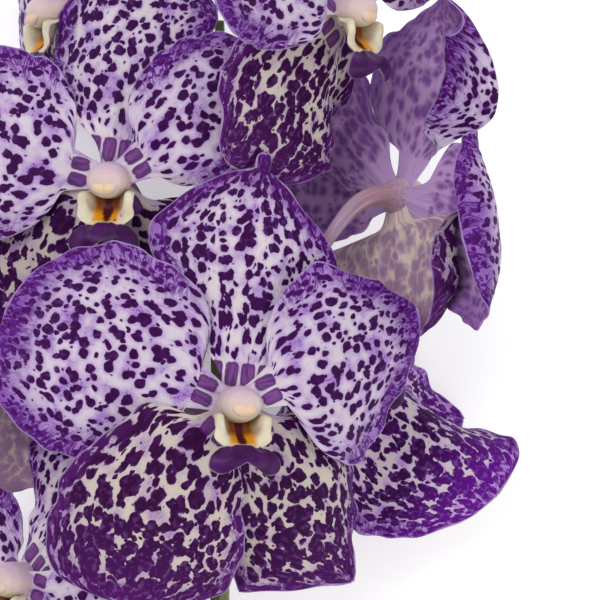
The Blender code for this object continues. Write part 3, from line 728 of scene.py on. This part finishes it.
TEPAL_FINISHES = dict(
    dorsal_sepal=tepal_finish("spotted_dorsal_sepal", DORSAL_LOOK),
    petal=tepal_finish("spotted_petal", PETAL_LOOK),
    lateral_sepal=tepal_finish("blotched_lateral_sepal", LATERAL_LOOK),
    violet_lateral_sepal=tepal_finish("violet_lateral_sepal", VIOLET_LATERAL_LOOK))
print("tepal finishes:", sorted(TEPAL_FINISHES))

# %% [markdown]
# A tepal is a living sheet. It could be carved from a block or draped with cloth, but its form is
# regular enough to be written down, so a flat grid is moved onto the formula. On top of the solid's
# form come what the coarse solid can't hold: a shallow groove along the midrib, faint ribs over the
# veins, a slow unevenness of the blade and a ruffle along its margin.

# %% Forty tepals
TEPAL_ROWS = 60
TEPAL_COLUMNS = 48
GROOVE_DEPTH = 0.45
GROOVE_WIDTH = 1.3
VEIN_HEIGHT = 0.07
VEIN_COUNT = 7.5
UNEVEN_HEIGHT = 0.22
RUFFLE_HEIGHT = 0.65
HUB = 0.3
FOOT_REACH = 2.6
THIN_MARGIN = 4
MAP_STEP = 100
NUDGE = 1e-3
CLAW_FILL = dict(dorsal_sepal=4.2, petal=1.5, lateral_sepal=5.0)
OTHER_LOOKS = dict(
    right_lateral_sepal_left="petal", low_right_lateral_sepal_left="violet_lateral_sepal",
    low_right_lateral_sepal_right="violet_lateral_sepal")


def relief(form, u, t, arc):
    """How far the blade stands off the plain formula, towards the front, in millimetres."""
    seed = form["seed"]
    groove = -GROOVE_DEPTH * np.exp(-(arc / GROOVE_WIDTH) ** 2) * (1 - smooth((u - 0.5) / 0.4))
    fan = arc / np.maximum(half_width(form, u, 0), 1)
    veins = VEIN_HEIGHT * np.cos(2 * pi * VEIN_COUNT * fan) * smooth(u / 0.2)
    slow = np.sin(9 * u + 2.2 * seed) * np.sin(4.2 * t + 1.3 * seed) + np.sin(14 * u - 7 * t + seed)
    ruffle = RUFFLE_HEIGHT * np.abs(t) ** 6 * np.sin(34 * u + 3 * t + seed) * smooth(u / 0.3)
    uneven = UNEVEN_HEIGHT * slow * smooth((u - 0.1) / 0.3)
    return (groove + veins + uneven + ruffle) * smooth((1 - u) / 0.08)


def tepal_bmesh(form, bloom):
    """The blade as a closed thin sheet, with notes on where each vertex lies."""
    bm = bmesh.new()
    u, t = lay_grid(bm, TEPAL_ROWS, TEPAL_COLUMNS, ROW_CROWDING)

    def nudged(up, across):
        return tepal_surface(form, np.clip(u + up, 0, 1), np.clip(t + across, -1, 1))

    outward = np.cross(nudged(NUDGE, 0) - nudged(-NUDGE, 0), nudged(0, NUDGE) - nudged(0, -NUDGE))
    outward /= np.maximum(np.linalg.norm(outward, axis=1, keepdims=True), 1e-12)
    half = np.where(t >= 0, half_width(form, u, 0), half_width(form, u, 1))
    arc = t * half
    middle = nudged(0, 0) + outward * relief(form, u, t, arc)[:, None]
    middle[:, 0] -= FOOT_REACH * np.clip(1 - u / 0.1, 0, 1) ** 2
    lean = radians(form["lean"])
    turn = np.array(Matrix.Rotation(lean, 3, "Z"))
    foot = np.array([TEPAL_BASE * cos(lean), TEPAL_BASE * sin(lean), form["foot"]])
    move_to(bm, from_bloom(middle @ turn.T + foot, bloom))

    length = form["length"]
    widest = max(sides(form["width"]))
    shift = MAP_STEP * form["seed"]
    margin = np.minimum(half * (1 - np.abs(t)), (1 - u) * length * 0.8)
    run = length * (0.74 * u + 0.34 * u ** 2) + shift
    fan = (t + 0.3 * t ** 3) * np.sqrt(half * widest) * (0.85 + 0.25 * u)
    ahead = length * (u - HUB)
    ray = np.arctan2(arc, ahead) * widest + shift
    out = np.hypot(arc, ahead)
    keep_notes(bm, up=u, margin=margin, run=run, fan=fan, ray=ray, out=out, aside=np.abs(arc))
    inner = smooth(margin / THIN_MARGIN)
    thicken(bm, MM * (MARGIN_THICKNESS + (TEPAL_THICKNESS - MARGIN_THICKNESS) * inner))
    return bm


def write_sheet_notes(piece):
    """Tepals and lips keep the same notes."""
    write_notes(piece, ("run", "fan"), place=("up", "margin", "front"), rays=("ray", "out", "aside"))


count = 0
for bloom_name, bloom in BLOOMS.items():
    for kind, usual in KINDS.items():
        count += 1
        node_name = f"{bloom_name}_{kind}"
        sort = kind.replace("_left", "").replace("_right", "")
        bm = tepal_bmesh(dict(usual, **bloom[kind], fill=CLAW_FILL[sort], seed=count), bloom)
        finish = TEPAL_FINISHES[OTHER_LOOKS.get(node_name, sort)]
        piece = add_piece(node_name + "_blade", bm, node_name, finish)
        write_sheet_notes(piece)
print("tepals:", count, "faces each:", len(piece.data.polygons))

# %% [markdown]
# The lip is the landing place for a bee: a pouch with two upright cream cheeks, an orange throat
# with a dark red stripe, and below a narrow waist a glossy violet midlobe like a small moustache.
# Its colours meet in soft uneven borders. They could be painted by hand, but here the finish reads
# how far up and how far aside a point lies, and a noise shifts each border a little.

# %% The finish of the lip
def lip_finish():
    """Cream cheeks and a striped amber throat with painted shade near the column, and a violet midlobe,
    from the notes of where they lie.
    """
    finish = Finish("cream_and_violet_lip", 0.4, 0.15, 0.15, (0.0015, 0.0009, 0.0006))
    up, margin, front = split(finish.note("place"))
    ray, _, aside = split(finish.note("rays"))
    skin = finish.place()
    grain = noise(skin, 900.0, 3.0, 0.6)
    cloud = noise(skin, 260.0)
    uneven = cloud - 0.5

    colour = blend(fade(cloud, 0.35, 0.7), (0.60, 0.55, 0.42), (0.52, 0.44, 0.33))
    # Painted shade: inside the pouch, near the column, the cream turns brown where the column shades it.
    inner = (1 - fade(aside, 3.8, 7.0)) * (1 - fade(up, 0.2, 0.44))
    colour = blend(inner * 0.8, colour, (0.24, 0.14, 0.06))
    throat = (1 - fade(aside + uneven * 2.4, 2.6, 4.4)) * (1 - fade(up, 0.42, 0.5))
    # Painted shade: the throat's amber darkens to brown towards the column, under the column's shade.
    amber = blend(fade(up, 0.1, 0.3), (0.16, 0.04, 0.008), (0.60, 0.24, 0.004))
    colour = blend(throat, colour, amber)
    stripe = (1 - fade(aside + uneven * 3.5, 0.5, 1.5)) * (1 - fade(up, 0.42, 0.52))
    colour = blend(stripe, colour, (0.06, 0.004, 0.012))
    cells = node("TexVoronoi", {"Vector": skin, "Scale": 600.0, "Randomness": 1.0})[0]
    marks = (1 - fade(cells, 0.26, 0.4)) * fade(up, 0.3, 0.36) * fade(cloud, 0.44, 0.52)
    marks = marks * (fade(ray, 0.3, 0.4) * (1 - fade(aside, 4.0, 5.0)))
    colour = blend(marks, colour, (0.09, 0.008, 0.03))

    violet = blend(fade(cloud, 0.3, 0.75), (0.028, 0.001, 0.040), (0.060, 0.006, 0.092))
    colour = blend(fade(up + uneven * 0.06, 0.475, 0.515), colour, violet)
    rim = (1 - fade(margin - uneven * 0.8, 0.05, 0.3)) * fade(up, 0.55, 0.7)
    colour = blend(rim * 0.6, colour, (0.34, 0.24, 0.36))
    under = blend(fade(up, 0.45, 0.6), (0.56, 0.51, 0.40), (0.20, 0.11, 0.25))
    return finish.close(blend(fade(front, 0.4, 0.6), under, colour), grain, 0.3, 0.0003)


LIP_FINISH = lip_finish()
print("nodes in the lip's finish:", len(LIP_FINISH.node_tree.nodes))

# %% [markdown]
# The lip is one sheet on the solid's midline. Across the pouch the sheet rises to each side and
# rolls outwards at the top, which gives the cheeks their thick round rims. Below the waist the rows
# fan out to an outline that is read off the flower, from the notch round each drooping end. It
# could be sculpted, but a formula lets the eight lips share one form.

# %% Eight lips
LIP_ROWS = 64
LIP_COLUMNS = 52
LIP_LENGTH = 16.0
LIP_START = (-5.7, 1.6)
LIP_SLOPE = (30, 50, 68, 66, 35)
LIP_THICKNESS = 0.64
WAIST = 0.5
POUCH_HALF_WIDTH = (4.0, 10.2, 10.4, 8.2, 4.4)
POUCH_CURL = 0.15
POUCH_ROOT = 1.8
CHEEK_WALL = 0.6
CHEEK_ROLL = 1.1
CHEEK_STRETCH = 2.6
SECTION_STEPS = 24
LOBE_ASIDE = (0.0, 2.6, 5.9, 8.8, 8.6, 6.2)
LOBE_AHEAD = (4.2, 5.6, 7.1, 5.9, 3.2, 1.0)
LOBE_CREST = 4.2
LOBE_BULGE = 4.0
LOBE_DROOP = 0.035
KEEL_HEIGHT = 0.7


def pouch_section(u, t):
    """Across the pouch: the floor, the rising wall, and the cheek's rim rolled outwards."""
    cheek = smooth((u - 0.01) / 0.1) * (1 - smooth((u - 0.3) / 0.2))
    step = np.abs(t) * along(POUCH_HALF_WIDTH, u / WAIST) / SECTION_STEPS
    angle = np.zeros_like(u)
    across = np.zeros_like(u)
    height = np.zeros_like(u)
    for i in range(SECTION_STEPS):
        share = (i + 0.5) / SECTION_STEPS * np.abs(t)
        roll = smooth((share - CHEEK_WALL) / 0.2)
        angle += (POUCH_CURL * (0.25 + cheek) * (1 - roll) - CHEEK_ROLL * cheek * roll) * step
        across += np.cos(angle) * step
        height += np.sin(angle) * step
    return np.sign(t) * across, height


def lip_surface(u, t):
    """The pouch up to the waist, and from there the midlobe fanned out to its outline."""
    g = np.linspace(0, 1, MIDLINE_STEPS + 1)
    slope = np.radians(along(LIP_SLOPE, g))
    step = LIP_LENGTH / MIDLINE_STEPS
    y_line = LIP_START[0] - np.concatenate([[0], np.cumsum(np.cos(slope[1:]) * step)])
    z_line = LIP_START[1] + np.concatenate([[0], np.cumsum(np.sin(slope[1:]) * step)])
    pouch = np.minimum(u, WAIST)
    here = np.interp(pouch, g, slope)
    x, height = pouch_section(pouch, t)
    y = np.interp(pouch, g, y_line) + height * np.sin(here) + POUCH_ROOT * (1 - smooth(u / 0.15))
    z = np.interp(pouch, g, z_line) + height * np.cos(here)
    v = np.clip((u - WAIST) / (1 - WAIST), 0, 1)
    ahead = v * along(LOBE_AHEAD, np.abs(t))
    wall = smooth((np.abs(t) - 0.35) / 0.4)
    x = x + v * (np.sign(t) * along(LOBE_ASIDE, np.abs(t)) - t * POUCH_HALF_WIDTH[-1])
    y = y - ahead + CHEEK_STRETCH * wall * (0.7 - pouch / WAIST) * (1 - v)
    past = np.clip((ahead - LOBE_CREST) / 3, 0, 1)
    bulge = 1 - (1 - np.clip(ahead / LOBE_CREST, 0, 1)) ** 2 - 0.3 * past ** 2
    keels = np.exp(-((np.abs(t) - 0.45) / 0.1) ** 2) - np.exp(-(t / 0.14) ** 2)
    z = z + LOBE_BULGE * bulge - LOBE_DROOP * x ** 2 * smooth(v / 0.4)
    z = z + KEEL_HEIGHT * keels * smooth(v / 0.3) * (1 - v)
    return np.stack([x, y, z], -1)


for bloom_name, bloom in BLOOMS.items():
    bm = bmesh.new()
    u, t = lay_grid(bm, LIP_ROWS, LIP_COLUMNS)
    move_to(bm, from_bloom(lip_surface(u, t), bloom))
    half = along(POUCH_HALF_WIDTH, np.minimum(u / WAIST, 1)) + 5 * smooth((u - WAIST) / 0.3)
    margin = np.minimum(half * (1 - np.abs(t)), (1 - u) * LIP_LENGTH)
    run = u * LIP_LENGTH
    arc = t * half
    keep_notes(bm, up=u, margin=margin, run=run, fan=arc, ray=t, out=u, aside=np.abs(arc))
    thicken(bm, [MM * LIP_THICKNESS] * len(u))
    write_sheet_notes(add_piece(f"{bloom_name}_lip_sheet", bm, f"{bloom_name}_lip", LIP_FINISH))
print("lips:", len(BLOOMS))

# %% [markdown]
# The flower stalk is a curved tube that swells into the ribbed ovary and ends in the column, the
# blunt white knob in the middle of the bloom. A curve with a round bevel would do for the tube
# alone. Here a grid is rolled up round the centre line instead, so that its radius can follow the
# ribs of the ovary and the flattened column in one closed skin.

# %% Rolled tubes
STEM_X = -21.25
STEM_CUT_Y = -215.0
STEM_TIP_Y = 74.0
STEM_BEND_Y = -80.0
STEM_DROOP = 20.0
STEM_RADII = ((STEM_CUT_Y, 40, STEM_TIP_Y), (2.8, 2.3, 1.2))
NODE_SWELL = 0.5
NODE_LENGTH = 2.0
SEAM = 1e-7


def stem_point(y):
    """The stem's centre line: straight, then bowed down towards the cut end."""
    past = max(0.0, (STEM_BEND_Y - y) / (STEM_BEND_Y - STEM_CUT_Y))
    return np.array([STEM_X, y, -STEM_DROOP * past ** 2])


def stem_radius(y):
    """Thins towards the tip, and swells where a flower stalk grows."""
    swell = max(np.exp(-((y - bloom["joins"]) / NODE_LENGTH) ** 2) for bloom in BLOOMS.values())
    return np.interp(y, *STEM_RADII) + NODE_SWELL * swell


def carry(points, last):
    """Two directions across the line at each point, with no twist, ending with the direction last."""
    tangent = np.gradient(points, axis=0)
    tangent /= np.linalg.norm(tangent, axis=1, keepdims=True)
    first = np.zeros_like(points)
    for i in range(len(points) - 1, -1, -1):
        last = last - tangent[i] * np.dot(last, tangent[i])
        last = last / np.linalg.norm(last)
        first[i] = last
    return first, np.cross(tangent, first)


def tube(points, run, last, radius, around):
    """A grid rolled round the line and closed; radius(ring, angle) gives its two half widths."""
    bm = bmesh.new()
    rings = len(points) - 1
    up, turn = lay_grid(bm, rings, around)
    ring = np.rint(up * rings).astype(int)
    angle = turn * pi
    wide, tall = radius(ring, angle)
    first, second = carry(points, last)
    x = wide * np.cos(angle)
    y = tall * np.sin(angle)
    move_to(bm, to_table(points[ring] + first[ring] * x[:, None] + second[ring] * y[:, None]))
    keep_notes(bm, x=x, y=y, run=run[ring])
    bmesh.ops.remove_doubles(bm, verts=bm.verts, dist=SEAM)
    bmesh.ops.holes_fill(bm, edges=[edge for edge in bm.edges if edge.is_boundary], sides=0)
    bmesh.ops.recalc_face_normals(bm, faces=bm.faces[:])
    return bm


def write_skin(piece):
    """Across the tube in two directions, and the distance along it."""
    write_notes(piece, skin=("x", "y", "run"))


# %% [markdown]
# Outside, the stalk is lilac pink with fine lengthwise grooves, greener where it leaves the stem.
# The column is a waxy white that blushes pink at its top and turns cream at its lower rim. Its
# anther cap is peach, with a pale seam down the middle.

# %% The finish of stalk and column
def stalk_finish():
    """Lilac along the stalk and wax on the column, by the distance from the bloom's middle."""
    finish = Finish("lilac_stalk_and_waxy_column", 0.5, 0.2, 0.2, (0.0018, 0.0012, 0.001))
    skin = finish.note("skin")
    _, y, run = split(skin)
    threads = noise(stretch(skin, (1.6, 1.6, 0.05)), 1.0, 3.0, 0.6)
    cloud = noise(skin, 0.35)
    lilac = blend(fade(threads, 0.35, 0.7), (0.46, 0.33, 0.44), (0.32, 0.20, 0.29))
    blush = fade(run, -22.0, -11.0) * (1 - fade(run, -8.0, -2.0))
    lilac = blend(blush * 0.45, lilac, (0.52, 0.27, 0.24))
    green = 1 - fade(run + cloud * 8.0, -46.0, -26.0)
    colour = blend(green * 0.45, lilac, (0.24, 0.21, 0.11))
    wax = blend(fade(y, -3.2, -1.4), (0.56, 0.48, 0.34), (0.54, 0.42, 0.40))
    wax = blend(fade(y, 0.2, 4.0), wax, (0.54, 0.38, 0.50))
    wax = blend(fade(cloud, 0.5, 0.75) * 0.3, wax, (0.58, 0.52, 0.50))
    return finish.close(blend(fade(run, -3.5, 0.5), colour, wax), threads, 0.3, 0.0004)


def cap_finish():
    """Peach, paler along the seam and towards the rim."""
    finish = Finish("peach_anther_cap", 0.5, 0.25, 0.2, (0.0018, 0.0012, 0.0008))
    skin = finish.note("skin")
    cloud = noise(skin, 1.2, 3.0)
    colour = blend(fade(cloud, 0.35, 0.7), (0.66, 0.45, 0.25), (0.64, 0.48, 0.33))
    seam = 1 - fade(abs(split(skin)[0]), 0.1, 0.45)
    colour = blend(seam * 0.7, colour, (0.60, 0.42, 0.42))
    oval = vector_maths("LENGTH", stretch(skin, (0.4, 0.52, 0.0)))
    rim = fade(oval + cloud * 0.3, 0.9, 1.35)
    return finish.close(blend(rim, colour, (0.54, 0.43, 0.39)), cloud, 0.25, 0.0003)


STALK_FINISH = stalk_finish()
CAP_FINISH = cap_finish()
print("finishes:", STALK_FINISH.name, CAP_FINISH.name)

# %% [markdown]
# A stalk leaves the stem at its node and curves round to the back of its bloom. The line is a
# Bezier curve with its ends along the two directions, so it needs no points in between. The anther
# cap is a small ball, flattened, pushed in along its seam and drawn up to a point.

# %% Eight stalks, each with its ovary and column
STALK_RINGS = 64
STALK_AROUND = 48
STALK_RADII = ((0, 0.04, 0.25, 0.6, 0.85, 1), (2.1, 1.5, 1.3, 1.7, 2.3, 2.6))
COLUMN_RINGS = 40
COLUMN_PROFILE = (
    (-7.0, 2.6), (-4.5, 3.2), (-2.2, 4.6), (-0.6, 5.1), (2.0, 5.2), (5.0, 5.0), (7.2, 3.9), (8.3, 2.0),
    (8.6, 0.25))
STALK_END = COLUMN_PROFILE[0][0]
COLUMN_TOP = COLUMN_PROFILE[-1][0]
OVARY_RIBS = 6
RIB_HEIGHT = 0.09
OVARY_AT = -16
CAP_PLACE = (0.0, -1.3, 7.3)
CAP_SIZE = (3.2, 2.3, 1.2)


def stalk_line(bloom):
    """Centre line, plain radii and the distance from the bloom's middle, in millimetres."""
    axis = facing(bloom["turn"])[:, 2]
    middle = np.array(bloom["at"], float)
    end = middle + axis * STALK_END
    root = stem_point(bloom["joins"])
    out = end - root
    out[1] = 0
    out /= np.linalg.norm(out)
    start = root + out * (stem_radius(bloom["joins"]) - 0.5)
    reach = np.linalg.norm(end - start)
    first = start + out * reach * 0.4
    second = end - axis * reach * 0.45
    f = np.linspace(0, 1, STALK_RINGS)[:, None]
    line = (1 - f) ** 3 * start + 3 * (1 - f) ** 2 * f * first
    line = line + 3 * (1 - f) * f ** 2 * second + f ** 3 * end
    radii = np.interp(f[:, 0], *STALK_RADII)
    g = np.linspace(0, 1, COLUMN_RINGS + 1)[1:]
    reached = STALK_END + (COLUMN_TOP - STALK_END) * np.sin(g * pi / 2)
    line = np.vstack([line, middle + axis * reached[:, None]])
    radii = np.concatenate([radii, np.interp(reached, *np.array(COLUMN_PROFILE).T)])
    radii[2:-2] = (radii[:-4] + 2 * radii[1:-3] + 3 * radii[2:-2] + 2 * radii[3:-1] + radii[4:]) / 9
    run = np.concatenate([[0], np.cumsum(np.linalg.norm(np.diff(line, axis=0), axis=1))])
    return line, radii, run - run[-1] + COLUMN_TOP


def cap_bmesh(bloom):
    """The anther cap of one bloom."""
    bm = bmesh.new()
    bmesh.ops.create_uvsphere(bm, u_segments=32, v_segments=20, radius=1)
    x, y, z = (np.array([vertex.co for vertex in bm.verts]) * CAP_SIZE).T
    z = z + 0.3 * np.exp(-(y + 0.9) ** 2) - 0.22 * np.exp(-(x / 0.3) ** 2) * smooth(z + 0.2)
    y = y + 0.5 * np.exp(-(x / 0.45) ** 2) * smooth(y / 1.5)
    keep_notes(bm, x=x, y=y, run=np.zeros_like(x))
    move_to(bm, from_bloom(np.stack([x, y, z], -1) + CAP_PLACE, bloom))
    return bm


stalk_lengths = {}
for bloom_name, bloom in BLOOMS.items():
    line, radii, run = stalk_line(bloom)
    stalk_lengths[bloom_name] = round(float(run[-1] - run[0]))

    def grown(ring, angle):
        """Six ribs on the ovary, and a column a little wider than tall."""
        ribbed = np.exp(-((run[ring] - OVARY_AT) / 9) ** 2)
        radius = radii[ring] * (1 + RIB_HEIGHT * ribbed * np.cos(OVARY_RIBS * angle + run[ring] * 0.05))
        blunt = smooth((run[ring] + 3) / 5)
        dome = smooth((run[ring] - 4) / 4)
        return radius * (1 + 0.05 * blunt), radius * (1 - 0.1 * blunt) * (1 - 0.12 * dome * np.sin(angle))

    node_name = f"{bloom_name}_stalk"
    bm = tube(line, run, facing(bloom["turn"])[:, 0], grown, STALK_AROUND)
    write_skin(add_piece(node_name + "_and_column", bm, node_name, STALK_FINISH))
    write_skin(add_piece(f"{bloom_name}_anther_cap", cap_bmesh(bloom), node_name, CAP_FINISH))
print("stalks with column, in millimetres:", stalk_lengths)

# %% [markdown]
# The stem is a stiff green rod with fine ridges, and under each flower stalk sits a small dry
# bract. The cut end of the stem shows paler wood with darker dots, the ends of its veins.

# %% The finish of stem and bracts
def stem_finish():
    """Ridged green with a few brown clouds and specks, and wood where the stem is cut."""
    finish = Finish("ridged_green_stem", 0.45)
    skin = finish.note("skin")
    ridges = noise(stretch(skin, (1.3, 1.3, 0.03)), 1.0, 3.0, 0.6)
    cloud = noise(stretch(skin, (0.25, 0.25, 0.06)), 1.0, 3.0)
    colour = blend(fade(ridges, 0.35, 0.7), (0.13, 0.16, 0.035), (0.07, 0.09, 0.02))
    colour = blend(fade(cloud, 0.5, 0.72) * 0.6, colour, (0.16, 0.08, 0.06))
    specks = noise(skin, 2.2, 3.0, 0.7)
    colour = blend(fade(specks, 0.6, 0.68) * 0.5, colour, (0.05, 0.03, 0.02))
    veins = node("TexVoronoi", {"Vector": skin, "Scale": 1.7, "Randomness": 0.9})[0]
    wood = blend(fade(veins, 0.15, 0.3), (0.20, 0.22, 0.08), (0.46, 0.46, 0.24))
    cut = 1 - fade(split(skin)[2], 0.02, 0.12)
    return finish.close(blend(cut, colour, wood), ridges, 0.5, 0.0005)


def bract_finish():
    """Straw with darker fibres and brown clouds."""
    finish = Finish("dry_bract", 0.6)
    skin = finish.place()
    fibres = noise(skin, 700.0, 3.0, 0.6)
    colour = blend(fade(fibres, 0.35, 0.65), (0.30, 0.24, 0.10), (0.18, 0.15, 0.05))
    colour = blend(fade(noise(skin, 180.0), 0.45, 0.7), colour, (0.20, 0.11, 0.07))
    return finish.close(colour, fibres, 0.4, 0.0003)


# %% [markdown]
# The stem is one more rolled tube, with its ridges in the mesh and a thicker ring at each node. A
# bract is a grid that narrows to a point, wrapped part of the way round the stem and leaning off it.

# %% Stem and bracts
STEM_RINGS = 340
STEM_AROUND = 48
STEM_RIDGES = 11
RIDGE_HEIGHT = 0.018
BRACT_ROWS = 14
BRACT_COLUMNS = 16
BRACT_HEIGHT = 6.0
BRACT_SPREAD = 1.15
BRACT_BELOW = 2.6
BRACT_GAP = 0.15
BRACT_LEAN = 1.1
BRACT_THICKNESS = 0.4

heights = np.linspace(STEM_CUT_Y, STEM_TIP_Y, STEM_RINGS + 1)
stem_line = np.array([stem_point(y) for y in heights])
stem_radii = np.array([stem_radius(y) for y in heights])


def ridged(ring, angle):
    """The plain radius with shallow ridges, and slightly narrowed at the clean cut."""
    radius = stem_radii[ring] * (1 + RIDGE_HEIGHT * np.cos(STEM_RIDGES * angle + 0.02 * heights[ring]))
    radius = radius * (0.97 + 0.03 * smooth((heights[ring] - STEM_CUT_Y) / 1.2))
    return radius, radius


bm = tube(stem_line, heights - STEM_CUT_Y, np.array([1.0, 0, 0]), ridged, STEM_AROUND)
write_skin(add_piece("stem_with_nodes", bm, "stem", stem_finish()))
BRACT_FINISH = bract_finish()
for bloom_name, bloom in BLOOMS.items():
    centre = stem_point(bloom["joins"])
    outward = np.array(bloom["at"], float) + facing(bloom["turn"])[:, 2] * STALK_END - centre
    bm = bmesh.new()
    u, t = lay_grid(bm, BRACT_ROWS, BRACT_COLUMNS)
    angle = np.arctan2(outward[2], outward[0]) + t * BRACT_SPREAD * (1 - u ** 1.6)
    away = stem_radius(bloom["joins"]) + BRACT_GAP + BRACT_LEAN * u ** 2
    y = BRACT_HEIGHT * u - BRACT_BELOW
    move_to(bm, to_table(centre + np.stack([away * np.cos(angle), y, away * np.sin(angle)], 1)))
    bmesh.ops.remove_doubles(bm, verts=bm.verts, dist=SEAM)
    thicken(bm, [MM * BRACT_THICKNESS] * len(bm.verts))
    add_piece(f"{bloom_name}_bract", bm, "stem", BRACT_FINISH)
print("stem rings:", STEM_RINGS, "bracts:", len(BLOOMS))

# %% [markdown]
# The photograph looks down on the blooms with an almost shadowless white ground. The camera stands
# on the spray's own Z axis, 0.74 m away with a long lens, and so shares the spray's tilt.

# %% Camera
CAMERA_HEIGHT = 742.0
CAMERA_LENS = 168.0

camera_data = bpy.data.cameras.new("camera")
camera_data.lens = CAMERA_LENS
camera_data.sensor_width = 36.0
camera_data.clip_start = 0.01
camera = add_object("camera", camera_data)
camera.location = to_table((0, 0, CAMERA_HEIGHT))
camera.rotation_euler = Matrix(REST).to_euler()
bpy.context.scene.camera = camera
print("camera at:", [round(value, 3) for value in camera.location])

# %% [markdown]
# Soft even light comes from a white surround and two large lamps, one over the camera's left
# shoulder and one low on the right to keep the folds open. The floor is a plain pale sheet.

# %% Floor and light
FLOOR_SIZE = 6.0
WHITE = (1.0, 1.0, 1.0, 1.0)

floor_finish = Finish("pale_floor", 0.9)
floor_finish.inputs["Base Color"].default_value = (0.93, 0.93, 0.94, 1)
floor_finish.inputs["Emission Color"].default_value = WHITE
floor_finish.inputs["Emission Strength"].default_value = 0.2
bm = bmesh.new()
bmesh.ops.create_grid(bm, x_segments=1, y_segments=1, size=FLOOR_SIZE / 2)
floor = add_mesh("floor", bm, floor_finish.material)

world = bpy.data.worlds.new("surround")
bpy.context.scene.world = world
world.use_nodes = True
world.node_tree.nodes["Background"].inputs["Color"].default_value = WHITE
world.node_tree.nodes["Background"].inputs["Strength"].default_value = 0.75


def add_lamp(name, location, size, power):
    """A square soft light that looks at the spray."""
    data = bpy.data.lights.new(name, "AREA")
    data.size = size
    data.energy = power
    lamp = add_object(name, data)
    lamp.location = location
    lamp.rotation_euler = (-Vector(location)).to_track_quat("-Z", "Y").to_euler()


add_lamp("key_light", (-0.7, 0.6, 1.5), 0.9, 14.5)
add_lamp("fill_light", (0.9, -0.5, 1.1), 0.8, 7.0)
bpy.context.scene.view_settings.view_transform = "Standard"
print("lamps:", [lamp.name for lamp in bpy.data.lights])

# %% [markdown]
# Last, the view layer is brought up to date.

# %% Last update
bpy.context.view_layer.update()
